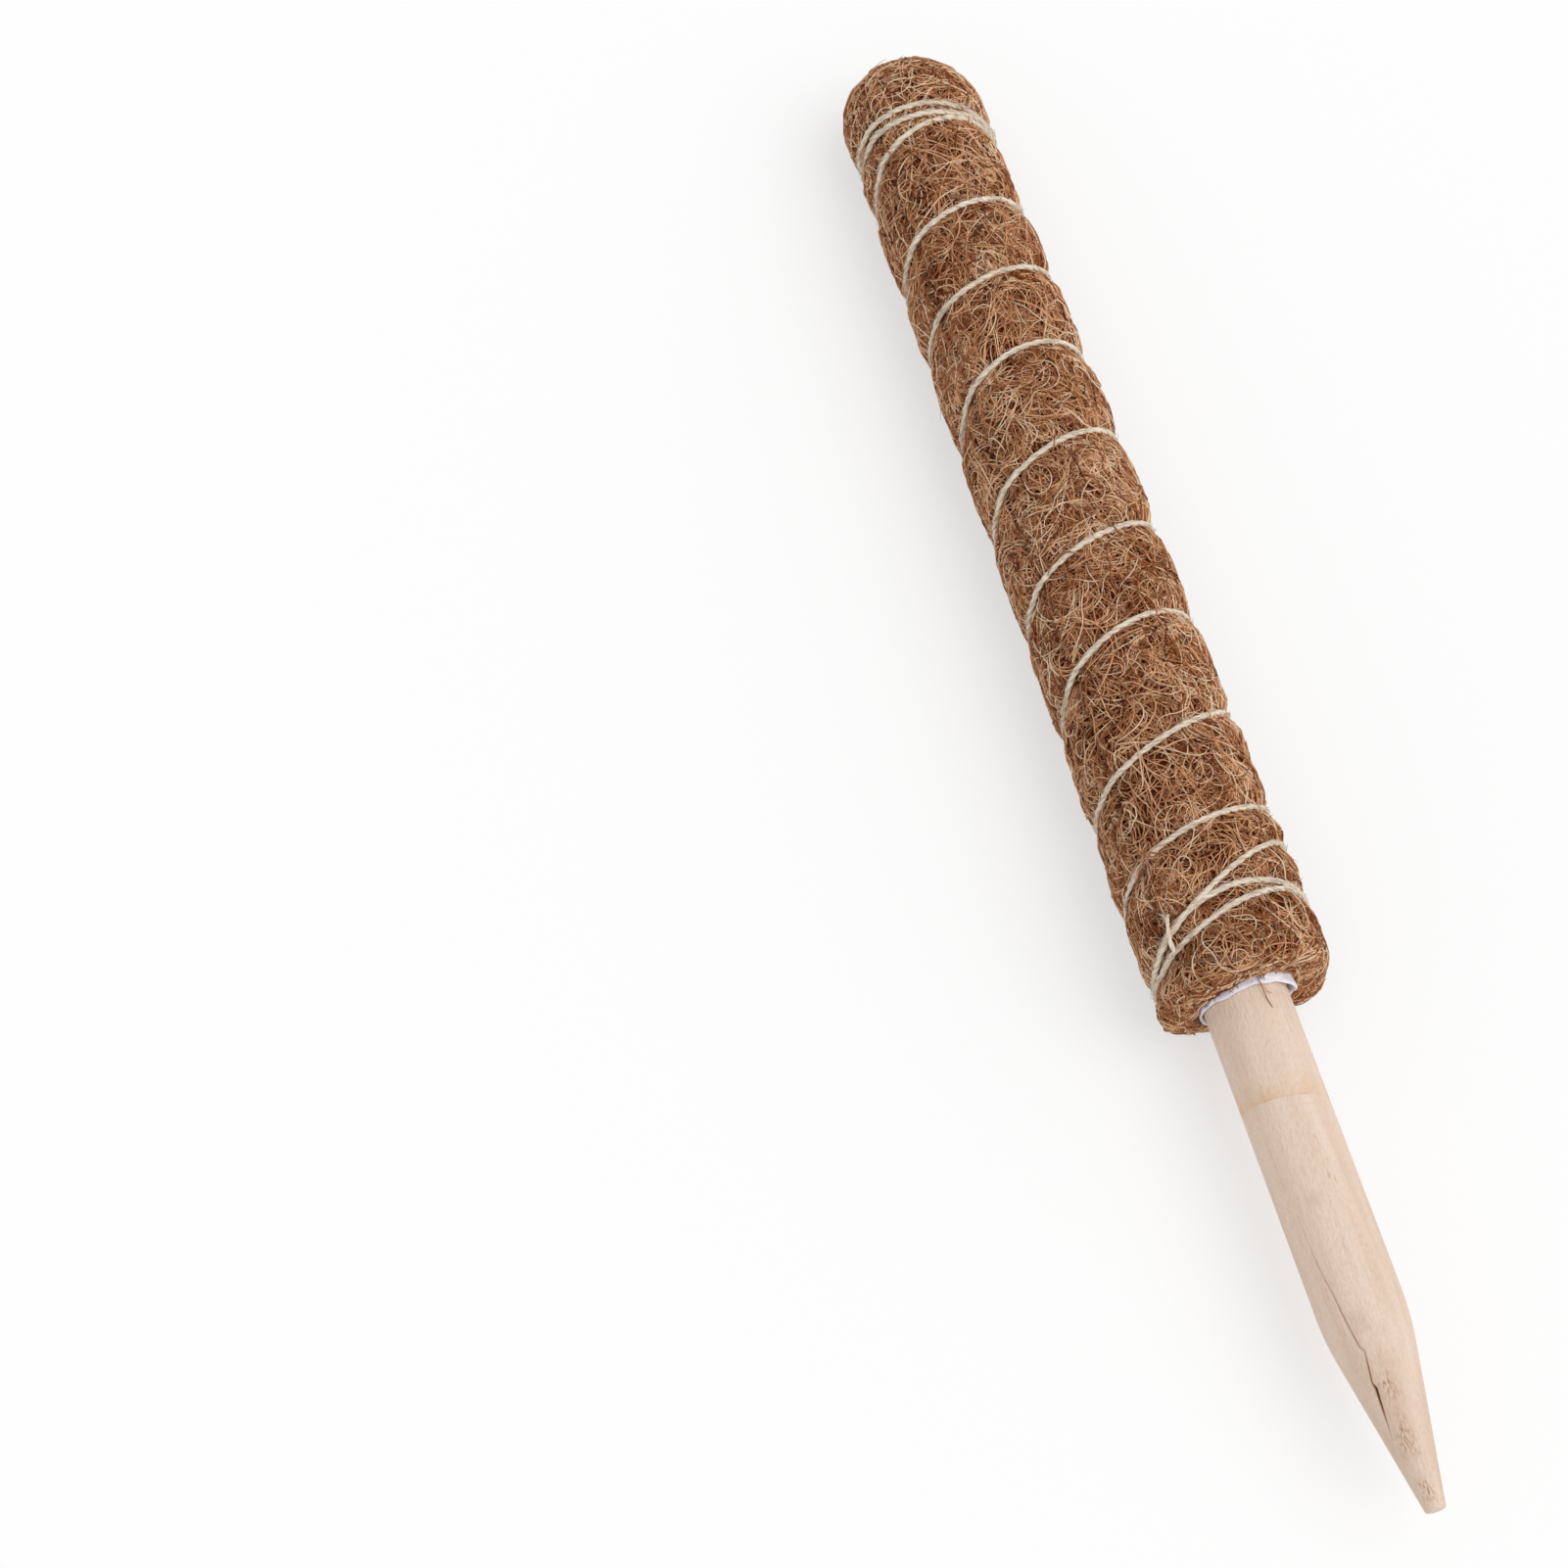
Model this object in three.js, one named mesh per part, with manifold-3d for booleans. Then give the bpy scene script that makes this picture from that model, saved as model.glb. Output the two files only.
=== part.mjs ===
import * as THREE from 'three';
import { mergeVertices } from 'three/addons/utils/BufferGeometryUtils.js';
import Module from 'manifold-3d';

// A coir moss pole lying on its side: a coir mat rolled round a thin plastic tube, closed over the
// tube's top in a dome, bound with jute twine, and a pointed wooden stake pushed into the tube's mouth.
// Millimetres. The pole runs along +X from the stake's tip to the dome. Distances "along" start at the
// tube's cut rim. Angles round the pole start straight up and grow towards -Y, right-handed about +X.

// Stake
const STAKE_DIAMETER = 15.5;
const STAKE_REACH = 95.4; // from the tube's rim to the tip
const STAKE_INSERTION = 60; // held inside the tube
const STAKE_CHAMFER = 1.2; // on the hidden end
const POINT_LENGTH = 33;
const POINT_SHOULDER = 9; // rounded run where the shank turns into the point
const TIP_DIAMETER = 3.6;

// Core tube
const TUBE_WALL = 0.75;
const TUBE_LENGTH = 191;
const TUBE_LIP = 1; // the tube stands out of the mat by this much
const STAKE_CLEARANCE = 0.3;

// Mat
const MAT_LENGTH = 203.6; // from its mouth to the top of its dome
const MAT_MOUTH_DIAMETER = 32.4;
const MAT_SHOULDER_DIAMETER = 27.3; // at the foot of the dome
const DOME_HEIGHT = 13;
const DOME_FULLNESS = 2.4; // 2 is an ellipse, more is squarer
const MOUTH_ROUND = 3; // on the outer edge of the mouth
const TUBE_CLEARANCE = 0.3;
const LAP_ANGLE = -45; // where the sheet's outer edge ends
const LAP_STEP = 0.8;
const REST_FLAT_DEPTH = 0.5; // pressed flat underneath

// Twine, and the groove that it draws into the mat
const TWINE_DIAMETER = 1.7;
const TWINE_SUNK = 0.7; // outside of the twine, below the mat's crowns
const TWINE_CLEARANCE = 0.35;
const GROOVE_REACH = 2; // from the twine's middle to where the mat swells out again
const GROOVE_EDGE_DEPTH = 0.55;
const CROWN_SPACING = 9; // turns closer than this leave no full crown between them

// Binding: one winding, cut into a bottom tie, a spiral and a top tie. Its turns are counted where they
// face straight up, and the spiral's pitches are those of a hand-wound one, from the mouth upwards.
const BOTTOM_TIE_ABOVE_MOUTH = 11;
const TOP_TIE_BELOW_DOME = 3.6;
const TIE_LOOPS = 2;
const TIE_GAP = 1.4; // between neighbouring loops of a tie
const SPIRAL_PITCHES = [10.6, 16.9, 23.1, 18.3, 20.1, 22.3, 16.8, 16.2, 19.3];

// How much higher a turn rides: on the upper side, and on the -Y side
const BOTTOM_TIE_LEAN = [3.2, 3.2];
const FIRST_TURN_LEAN = [0.5, 5];
const SPIRAL_LEAN = [2.5, 0.4];
const LAST_TURN_LEAN = [5.1, -0.7];
const TOP_TIE_LEAN = [2.4, -1.9];

// Where the winding is cut, in whole steps from the spiral's first turn or from the turn that is named
const STEPS_PER_TURN = 24;
const BOTTOM_TIE_START = -54;
const BOTTOM_TIE_END = -4;
const SPIRAL_START = -2;
const SPIRAL_PAST_LAST_TURN = 5;
const TOP_TIE_PAST_LAST_TURN = 7;
const TOP_TIE_PAST_TOP_LOOP = 6;
const GROOVE_OVERRUN = 1; // the groove runs on past the outer ends of the ties
const TWINE_SIDES = 6;

// Tail of the bottom tie, laid up the mat across the tie's own loops
const TAIL_ANGLE = -45;
const TAIL_LENGTH = 7.5;
const TAIL_BELOW_LOOPS = 1.2;
const TAIL_HEIGHT = 0.5; // its underside above the outside of the loops
const TAIL_STEPS = 8;

const LATHE_SEGMENTS = 36;
const FULL_TURN = Math.PI * 2;

// Sizes that follow from the ones above
const stakeRadius = STAKE_DIAMETER / 2;
const tubeInnerRadius = stakeRadius + STAKE_CLEARANCE;
const tubeOuterRadius = tubeInnerRadius + TUBE_WALL;
const boreRadius = tubeOuterRadius + TUBE_CLEARANCE;
const boreEnd = TUBE_LENGTH + TUBE_CLEARANCE;
const mouth = TUBE_LIP;
const apex = mouth + MAT_LENGTH;
const domeFoot = apex - DOME_HEIGHT;
const mouthRadius = MAT_MOUTH_DIAMETER / 2;
const shoulderRadius = MAT_SHOULDER_DIAMETER / 2;
const taper = (mouthRadius - shoulderRadius) / (domeFoot - mouth);
const twineRadius = TWINE_DIAMETER / 2;
const spiralTurns = SPIRAL_PITCHES.length;
const bottomTieStart = Math.round(BOTTOM_TIE_START);
const bottomTieEnd = Math.round(BOTTOM_TIE_END);
const spiralStart = Math.round(SPIRAL_START);
const spiralEnd = Math.round(spiralTurns * STEPS_PER_TURN + SPIRAL_PAST_LAST_TURN);
const topTieStart = Math.round(spiralTurns * STEPS_PER_TURN + TOP_TIE_PAST_LAST_TURN);
const topTieEnd = Math.round((spiralTurns + TIE_LOOPS) * STEPS_PER_TURN + TOP_TIE_PAST_TOP_LOOP);
const grooveStart = bottomTieStart - Math.ceil(GROOVE_OVERRUN);
const grooveEnd = topTieEnd + Math.ceil(GROOVE_OVERRUN);

const radians = THREE.MathUtils.degToRad;
const smoothStep = (x) => THREE.MathUtils.smoothstep(x, 0, 1);
const stepAngle = (step) => (FULL_TURN * step) / STEPS_PER_TURN;

const at = (along, angle, radius) => new THREE.Vector3(
  along,
  -radius * Math.sin(angle),
  radius * Math.cos(angle),
);

// The mat's crowns taper evenly from the mouth to the dome. The sheet's outer edge makes a step at the lap.
function crownRadius(along, angle) {
  const turn = (angle - radians(LAP_ANGLE)) / FULL_TURN;
  const pastTheLap = turn - Math.floor(turn + 1e-9);
  return mouthRadius - taper * (along - mouth) + LAP_STEP * (0.5 - pastTheLap);
}

// The winding's height at each turn, with the spiral stretched to fill the run between the ties, and
// its lean, each carried smoothly from turn to turn.
const tiePitch = TWINE_DIAMETER + TIE_GAP;
const windingFoot = mouth + BOTTOM_TIE_ABOVE_MOUTH;
const windingHead = domeFoot - TOP_TIE_BELOW_DOME;
const spiralSpan = windingHead - windingFoot - 2 * TIE_LOOPS * tiePitch;
const stretch = spiralSpan / SPIRAL_PITCHES.reduce((sum, pitch) => sum + pitch, 0);
const tiePitches = Array(TIE_LOOPS).fill(tiePitch);
const turnHeights = [windingFoot];
[...tiePitches, ...SPIRAL_PITCHES.map((pitch) => pitch * stretch), ...tiePitches]
  .forEach((pitch) => turnHeights.push(turnHeights.at(-1) + pitch));
const turnLeans = [
  ...Array(TIE_LOOPS).fill(BOTTOM_TIE_LEAN),
  FIRST_TURN_LEAN,
  ...Array(spiralTurns - 1).fill(SPIRAL_LEAN),
  LAST_TURN_LEAN,
  ...Array(TIE_LOOPS).fill(TOP_TIE_LEAN),
];
const overTurns = (values) => new THREE.SplineCurve(
  values.map((value, turn) => new THREE.Vector2(turn, value)),
);
const heightCurve = overTurns(turnHeights);
const upperLeanCurve = overTurns(turnLeans.map(([upper]) => upper));
const sideLeanCurve = overTurns(turnLeans.map(([, side]) => side));

function windingAlong(step) {
  const turn = step / STEPS_PER_TURN + TIE_LOOPS;
  const last = turnHeights.length - 1;
  const inside = THREE.MathUtils.clamp(turn, 0, last);
  const read = (curve) => curve.getPoint(inside / last).y;
  const angle = stepAngle(step);
  return read(heightCurve) + (turn - inside) * tiePitch
    + read(upperLeanCurve) * (Math.cos(angle) - 1) + read(sideLeanCurve) * Math.sin(angle);
}

// Centre points of a stretch of the winding, sunk into the mat.
function windingPoints(firstStep, lastStep) {
  return Array.from({ length: lastStep - firstStep + 1 }, (_, count) => {
    const along = windingAlong(firstStep + count);
    const angle = stepAngle(firstStep + count);
    return at(along, angle, crownRadius(along, angle) - TWINE_SUNK - twineRadius);
  });
}

const bottomTiePoints = windingPoints(bottomTieStart, bottomTieEnd);
const spiralPoints = windingPoints(spiralStart, spiralEnd);
const topTiePoints = windingPoints(topTieStart, topTieEnd);

// The tail lies over the bottom tie's loops, where the winding is cut.
function tailPoints() {
  const angle = radians(TAIL_ANGLE);
  const lowestLoop = windingAlong((TAIL_ANGLE / 360 - TIE_LOOPS) * STEPS_PER_TURN);
  return Array.from({ length: TAIL_STEPS + 1 }, (_, step) => {
    const along = lowestLoop - TAIL_BELOW_LOOPS + (TAIL_LENGTH * step) / TAIL_STEPS;
    return at(along, angle, crownRadius(along, angle) - TWINE_SUNK + TAIL_HEIGHT + twineRadius);
  });
}

// One unbroken round tube along the points, with both ends carried straight on.
function twineTube(points) {
  const straightOn = (end, before) => end.clone().sub(before).setLength(TWINE_DIAMETER).add(end);
  const centres = [straightOn(points[0], points[1]), ...points, straightOn(points.at(-1), points.at(-2))];
  const rings = centres.map((centre, step) => {
    const before = centres[Math.max(step - 1, 0)];
    const after = centres[Math.min(step + 1, centres.length - 1)];
    const forward = after.clone().sub(before).normalize();
    const outward = new THREE.Vector3(0, centre.y, centre.z).normalize();
    const sideways = forward.clone().cross(outward).normalize();
    const up = sideways.clone().cross(forward);
    return Array.from({ length: TWINE_SIDES }, (_, side) => {
      const turn = (FULL_TURN * side) / TWINE_SIDES;
      return centre.clone()
        .addScaledVector(up, twineRadius * Math.cos(turn))
        .addScaledVector(sideways, twineRadius * Math.sin(turn));
    });
  });
  const skin = new Skin();
  const rows = [skin.pole(centres[0], TWINE_SIDES), ...rings.map((ring) => skin.ring(ring)),
    skin.pole(centres.at(-1), TWINE_SIDES)];
  rows.slice(1).forEach((row, count) => skin.band(rows[count], row));
  return skin.geometry();
}

// Least free space between two stretches of one twine that lie at least half a turn apart.
function leastGap(points) {
  let least = Infinity;
  points.forEach((point, step) => {
    points.slice(step + STEPS_PER_TURN / 2).forEach((other) => {
      least = Math.min(least, point.distanceTo(other));
    });
  });
  return least - TWINE_DIAMETER;
}

// A closed surface put together from rings and faces. Seen from outside, a face's corners run
// anticlockwise, so a ring runs right-handed about the way that the rings follow each other.
class Skin {
  constructor() {
    this.positions = [];
    this.index = [];
  }

  point({ x, y, z }) {
    this.positions.push(x, y, z);
    return this.positions.length / 3 - 1;
  }

  ring(points) {
    return points.map((point) => this.point(point));
  }

  pole(point, sides) {
    return Array(sides).fill(this.point(point));
  }

  face(first, ...others) {
    others.slice(1).forEach((corner, count) => {
      const triangle = [first, others[count], corner];
      if (new Set(triangle).size === 3) this.index.push(...triangle);
    });
  }

  band(lower, upper) {
    lower.forEach((corner, side) => {
      const next = (side + 1) % lower.length;
      this.face(corner, lower[next], upper[next], upper[side]);
    });
  }

  geometry() {
    const geometry = new THREE.BufferGeometry();
    geometry.setAttribute('position', new THREE.Float32BufferAttribute(this.positions, 3));
    geometry.setIndex(this.index);
    geometry.computeVertexNormals();
    return geometry;
  }
}

// Points across one turn of the winding: the lower edge, the two floor corners and the upper edge of its
// groove. Where the next turn is close, the edges draw in and the ridge between the two stays low.
const centreDepth = TWINE_SUNK + twineRadius;
const tightReach = twineRadius + TWINE_CLEARANCE;

const grooveReach = (spacing) => THREE.MathUtils.clamp(spacing * 0.4, tightReach, GROOVE_REACH);

function edgeDepth(reach) {
  const openness = (reach - tightReach) / (GROOVE_REACH - tightReach);
  return THREE.MathUtils.lerp(centreDepth, GROOVE_EDGE_DEPTH, openness);
}

function spacingAbove(step) {
  const nextTurn = step + STEPS_PER_TURN;
  return nextTurn > grooveEnd ? CROWN_SPACING : windingAlong(nextTurn) - windingAlong(step);
}

function spacingBelow(step) {
  const turnBefore = step - STEPS_PER_TURN;
  return turnBefore < grooveStart ? CROWN_SPACING : spacingAbove(turnBefore);
}

function groovePoints(step) {
  const along = windingAlong(step);
  const angle = stepAngle(step);
  const below = grooveReach(spacingBelow(step));
  const above = grooveReach(spacingAbove(step));
  const floorDepth = TWINE_SUNK + TWINE_DIAMETER + TWINE_CLEARANCE;
  return [
    [-below, edgeDepth(below)],
    [-twineRadius, floorDepth],
    [twineRadius, floorDepth],
    [above, edgeDepth(above)],
  ].map(([offset, depth]) => at(along + offset, angle, crownRadius(along + offset, angle) - depth));
}

// The crown halfway between a turn's groove and the next one's.
function crownPoint(step) {
  const spacing = spacingAbove(step);
  const reach = grooveReach(spacing);
  const along = windingAlong(step) + spacing / 2;
  const angle = stepAngle(step);
  const fullness = smoothStep((spacing - 2 * reach) / (CROWN_SPACING - 2 * reach));
  return at(along, angle, crownRadius(along, angle) - edgeDepth(reach) * (1 - fullness));
}

// The rolled mat. Its bore, mouth and dome are rings, and between mouth and dome its skin follows the
// winding round, so each groove runs along whole edges.
function matGeometry() {
  const skin = new Skin();
  const angles = Array.from({ length: STEPS_PER_TURN }, (_, column) => stepAngle(column));
  const evenRing = (along, radiusAt) => skin.ring(angles.map((angle) => at(along, angle, radiusAt(angle))));
  const boreRing = (along) => evenRing(along, () => boreRadius);
  const outerRing = (along, shrink, inset) => (
    evenRing(along, (angle) => crownRadius(along, angle) * shrink - inset)
  );
  const ringStep = (ring, step) => ring[THREE.MathUtils.euclideanModulo(step, STEPS_PER_TURN)];

  const turnRows = new Map();
  for (let step = grooveStart; step <= grooveEnd; step += 1) {
    const crown = step + STEPS_PER_TURN <= grooveEnd ? [crownPoint(step)] : [];
    turnRows.set(step, skin.ring([...groovePoints(step), ...crown]));
  }
  for (let step = grooveStart; step < grooveEnd; step += 1) {
    const here = turnRows.get(step);
    const next = turnRows.get(step + 1);
    const above = turnRows.get(step + STEPS_PER_TURN);
    const aboveNext = turnRows.get(step + STEPS_PER_TURN + 1);
    const hereColumn = aboveNext ? [...here, above[0]] : here.slice(0, 4);
    const nextColumn = aboveNext ? [...next, aboveNext[0]] : next;
    hereColumn.slice(1).forEach((corner, side) => {
      skin.face(hereColumn[side], nextColumn[side], nextColumn[side + 1], corner);
    });
  }

  const edgeRound = MOUTH_ROUND * (1 - Math.SQRT1_2);
  const mouthEdge = outerRing(mouth + edgeRound, 1, edgeRound);
  const firstTurnEnd = grooveStart + STEPS_PER_TURN;
  for (let step = grooveStart; step < firstTurnEnd - 1; step += 1) {
    const corners = [turnRows.get(step + 1)[0], turnRows.get(step)[0]];
    skin.face(ringStep(mouthEdge, step), ringStep(mouthEdge, step + 1), ...corners);
  }
  skin.face(
    turnRows.get(firstTurnEnd - 1)[0],
    ringStep(mouthEdge, firstTurnEnd - 1),
    ringStep(mouthEdge, firstTurnEnd),
    ...turnRows.get(grooveStart),
    turnRows.get(firstTurnEnd)[0],
  );

  const domeEdge = outerRing(domeFoot, 1, 0);
  const lastTurnStart = grooveEnd - STEPS_PER_TURN;
  for (let step = lastTurnStart + 1; step < grooveEnd; step += 1) {
    const corners = [ringStep(domeEdge, step + 1), ringStep(domeEdge, step)];
    skin.face(turnRows.get(step)[3], turnRows.get(step + 1)[3], ...corners);
  }
  skin.face(
    turnRows.get(lastTurnStart + 1)[3],
    ringStep(domeEdge, lastTurnStart + 1),
    ringStep(domeEdge, grooveEnd),
    ...turnRows.get(grooveEnd).toReversed(),
    turnRows.get(lastTurnStart)[4],
    turnRows.get(lastTurnStart)[3],
  );

  const boreFloor = boreRing(boreEnd);
  const boreMouth = boreRing(mouth);
  const mouthFace = outerRing(mouth, 1, MOUTH_ROUND);
  skin.band(skin.pole(at(boreEnd, 0, 0), STEPS_PER_TURN), boreFloor);
  skin.band(boreFloor, boreMouth);
  skin.band(boreMouth, mouthFace);
  skin.band(mouthFace, mouthEdge);
  const domeRings = [0.35, 0.6, 0.8, 0.92, 0.985].map((share) => (
    outerRing(domeFoot + share * DOME_HEIGHT, (1 - share ** DOME_FULLNESS) ** (1 / DOME_FULLNESS), 0)
  ));
  const dome = [domeEdge, ...domeRings, skin.pole(at(apex, 0, 0), STEPS_PER_TURN)];
  dome.slice(1).forEach((ring, count) => skin.band(dome[count], ring));
  return skin.geometry();
}

// A revolved piece: the profile gives pairs of radius and distance along the pole.
function revolved(profile) {
  const points = profile.map(([radius, along]) => new THREE.Vector2(radius, along));
  return new THREE.LatheGeometry(points, LATHE_SEGMENTS).rotateZ(-Math.PI / 2);
}

// Blunt point, rounded shoulder and plain shank with a chamfered end.
function stakeProfile() {
  const tip = -STAKE_REACH;
  const coneStart = tip + POINT_LENGTH;
  const tipRadius = TIP_DIAMETER / 2;
  const slope = (stakeRadius - tipRadius) / POINT_LENGTH;
  const shoulder = new THREE.QuadraticBezierCurve(
    new THREE.Vector2(stakeRadius - (slope * POINT_SHOULDER) / 2, coneStart - POINT_SHOULDER / 2),
    new THREE.Vector2(stakeRadius, coneStart),
    new THREE.Vector2(stakeRadius, coneStart + POINT_SHOULDER / 2),
  );
  return [
    [0, tip],
    [tipRadius, tip],
    ...shoulder.getPoints(4).map((point) => [point.x, point.y]),
    [stakeRadius, STAKE_INSERTION - STAKE_CHAMFER],
    [stakeRadius - STAKE_CHAMFER, STAKE_INSERTION],
    [0, STAKE_INSERTION],
  ];
}

const tubeProfile = [
  [tubeInnerRadius, 0],
  [tubeOuterRadius, 0],
  [tubeOuterRadius, TUBE_LENGTH],
  [tubeInnerRadius, TUBE_LENGTH],
  [tubeInnerRadius, 0],
];

// The pole lies on its tapered side, so its axis drops slightly towards the dome.
const pole = new THREE.Group();
pole.rotation.y = Math.atan(taper);
pole.position.z = crownRadius(0, Math.PI) * Math.cos(pole.rotation.y) - REST_FLAT_DEPTH;
pole.updateMatrix();

// The mat is pressed flat where it lies on the floor.
const wasm = await Module();
wasm.setup();

function toSolid(geometry) {
  const bare = geometry.clone();
  bare.deleteAttribute('normal');
  bare.deleteAttribute('uv');
  const merged = mergeVertices(bare);
  return new wasm.Manifold(new wasm.Mesh({
    numProp: 3,
    vertProperties: new Float32Array(merged.attributes.position.array),
    triVerts: new Uint32Array(merged.index.array),
  }));
}

function pressedFlat(geometry) {
  const thickness = MAT_MOUTH_DIAMETER;
  const span = 4 * (STAKE_REACH + MAT_LENGTH);
  const slab = new THREE.BoxGeometry(span, span, thickness).translate(0, 0, -thickness / 2);
  slab.applyMatrix4(pole.matrix.clone().invert());
  const { vertProperties, triVerts } = toSolid(geometry).subtract(toSolid(slab)).getMesh();
  const pressed = new THREE.BufferGeometry();
  pressed.setAttribute('position', new THREE.BufferAttribute(vertProperties, 3));
  pressed.setIndex(new THREE.BufferAttribute(triVerts, 1));
  pressed.computeVertexNormals();
  return pressed;
}

function piece(name, geometry, color, roughness) {
  const mesh = new THREE.Mesh(geometry, new THREE.MeshStandardMaterial({ color, roughness, metalness: 0 }));
  mesh.name = name;
  pole.add(mesh);
}

const WOOD = 0xe6d0b8;
const PLASTIC = 0xe4e2e8;
const COIR = 0x8a5a36;
const JUTE = 0xc6b592;

piece('stake', revolved(stakeProfile()), WOOD, 0.7);
piece('core_tube', revolved(tubeProfile), PLASTIC, 0.4);
piece('coir_mat', pressedFlat(matGeometry()), COIR, 0.95);
piece('spiral_twine', twineTube(spiralPoints), JUTE, 0.9);
piece('top_tie', twineTube(topTiePoints), JUTE, 0.9);
piece('bottom_tie', twineTube(bottomTiePoints), JUTE, 0.9);
piece('bottom_tie_tail', twineTube(tailPoints()), JUTE, 0.9);

console.log(`spiral_twine least gap to itself ${leastGap(spiralPoints).toFixed(2)} mm`);
console.log(`top_tie least gap to itself ${leastGap(topTiePoints).toFixed(2)} mm`);
console.log(`bottom_tie least gap to itself ${leastGap(bottomTiePoints).toFixed(2)} mm`);

// The origin is on the floor under the middle of the whole pole.
const root = new THREE.Group();
root.add(pole);
const middle = new THREE.Box3().setFromObject(root, true).getCenter(new THREE.Vector3());
pole.position.x -= middle.x;
pole.position.y -= middle.y;

export default root;
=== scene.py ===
# %% [markdown]
# # A coir moss pole
# A moss pole is a climbing support for a pot plant. This one has five things on show: a pointed wooden
# stake, the rim of a thin plastic tube, a brown coir mat rolled round the tube, the jute twine that binds
# it, and loose coir fibres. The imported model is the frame, so every piece here is worked out in the same
# place as its solid. Lengths are in millimetres until a mesh is made.

import bpy
import numpy as np
from mathutils import Matrix


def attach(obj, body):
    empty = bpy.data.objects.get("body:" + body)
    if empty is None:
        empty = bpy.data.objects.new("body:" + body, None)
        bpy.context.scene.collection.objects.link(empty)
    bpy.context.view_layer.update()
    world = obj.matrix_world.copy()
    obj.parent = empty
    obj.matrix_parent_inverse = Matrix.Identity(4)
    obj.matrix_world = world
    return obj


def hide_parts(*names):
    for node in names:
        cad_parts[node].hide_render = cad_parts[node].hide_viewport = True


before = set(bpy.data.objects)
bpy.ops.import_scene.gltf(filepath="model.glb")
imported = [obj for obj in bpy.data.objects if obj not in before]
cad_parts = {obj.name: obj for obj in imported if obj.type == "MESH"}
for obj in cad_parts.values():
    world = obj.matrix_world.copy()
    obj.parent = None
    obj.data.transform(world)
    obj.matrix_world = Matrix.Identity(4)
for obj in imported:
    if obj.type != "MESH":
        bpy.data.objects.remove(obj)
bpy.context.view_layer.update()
MM = 0.001
TAU = 2 * np.pi

# %% [markdown]
# ## The pole's own coordinates
# The pole lies on its tapered side, so its axis drops a little towards the dome. Shapes are easier to give
# in its own terms: a distance along it from the tube's rim, an angle round it from straight up, and a
# radius. One function turns those into points of the frame, for whole arrays at once.

# %% Points on the pole
RIM = np.array([-54.583, 0.089, 15.612])
TILT = 0.013378
AXIS = np.array([np.cos(TILT), 0, -np.sin(TILT)])
UP = np.array([np.sin(TILT), 0, np.cos(TILT)])
SIDE = np.array([0.0, -1.0, 0.0])


def wrapped(angle):
    """The same angle, between minus and plus half a turn."""
    return np.mod(angle + np.pi, TAU) - np.pi


def unit(vectors):
    """Vectors divided by their lengths."""
    return vectors / (np.linalg.norm(vectors, axis=-1, keepdims=True) + 1e-12)


def spoke_at(angle):
    """Straight out from the axis: sine times sideways plus cosine times up."""
    return np.sin(angle)[..., None] * SIDE + np.cos(angle)[..., None] * UP


def on_pole(along, angle, radius):
    """The rim's middle, plus along times the axis, plus radius times the spoke at that angle."""
    along, angle, radius = np.broadcast_arrays(along, angle, radius)
    return RIM + along[..., None] * AXIS + radius[..., None] * spoke_at(angle)


def pole_place(points):
    """The reverse: distance along, angle and radius of points of the frame."""
    offset = points - RIM
    across, height = offset @ SIDE, offset @ UP
    return offset @ AXIS, np.arctan2(across, height), np.hypot(across, height)


FLOOR_GAP = 0.25


def above_floor(points, least=FLOOR_GAP):
    """The same points, with none lower than least."""
    points[..., 2] = np.maximum(points[..., 2], least)
    return points


print("dome at", on_pole(204.6, 0, 0), "tip at", on_pole(-95.4, 0, 0))

# %% [markdown]
# ## The camera
# The picture looks steeply down on the pole, from beyond the stake's end. A camera could be aimed by an
# empty and a constraint. Here its three directions are written down, because they were worked out from
# where the rim, the tip and the dome fall in the picture.

# %% Camera
CAMERA_OFFSET = np.array([-211.53, 149.05, 665.08])
CAMERA_RIGHT = (-0.29009, -0.95700, 0.0)
CAMERA_UP = (0.87860, -0.26632, 0.39639)
CAMERA_BACK = (-0.37935, 0.11499, 0.91808)


def add_object(name, data):
    """A new object for that data, linked to the scene."""
    made = bpy.data.objects.new(name, data)
    bpy.context.scene.collection.objects.link(made)
    return made


lens = bpy.data.cameras.new("picture_camera")
lens.lens, lens.sensor_width = 92.19, 36.0
lens.clip_start = 0.01
camera = add_object("picture_camera", lens)
place = Matrix((CAMERA_RIGHT, CAMERA_UP, CAMERA_BACK)).transposed().to_4x4()
place.translation = (RIM + CAMERA_OFFSET) * MM
camera.matrix_world = place
bpy.context.scene.camera = camera
print("camera at", place.translation)

# %% [markdown]
# ## From arrays to a mesh
# Every piece is a list of points and some arrays of corner numbers. Python could add faces one by one with
# bmesh, but a coir mat has thousands of fibres, so whole arrays go in at once with foreach_set.

# %% Mesh and piece
def mesh_of(name, points, faces, uv=()):
    """A smooth mesh from points in millimetres, arrays of faces, and matching UV arrays."""
    mesh = bpy.data.meshes.new(name)
    corners = np.concatenate([face.ravel() for face in faces]).astype(np.int32)
    counts = np.concatenate([np.full(len(face), face.shape[1]) for face in faces])
    starts = (np.cumsum(counts) - counts).astype(np.int32)
    mesh.vertices.add(len(points))
    mesh.vertices.foreach_set("co", (points * MM).astype(np.float32).ravel())
    mesh.loops.add(len(corners))
    mesh.loops.foreach_set("vertex_index", corners)
    mesh.polygons.add(len(counts))
    mesh.polygons.foreach_set("loop_start", starts)
    mesh.polygons.foreach_set("use_smooth", np.ones(len(counts), bool))
    if uv:
        layer = mesh.uv_layers.new(name="OFBake")
        layer.data.foreach_set("uv", np.concatenate([part.ravel() for part in uv]).astype(np.float32))
    mesh.update(calc_edges=True)
    mesh.validate()
    return mesh


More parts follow.
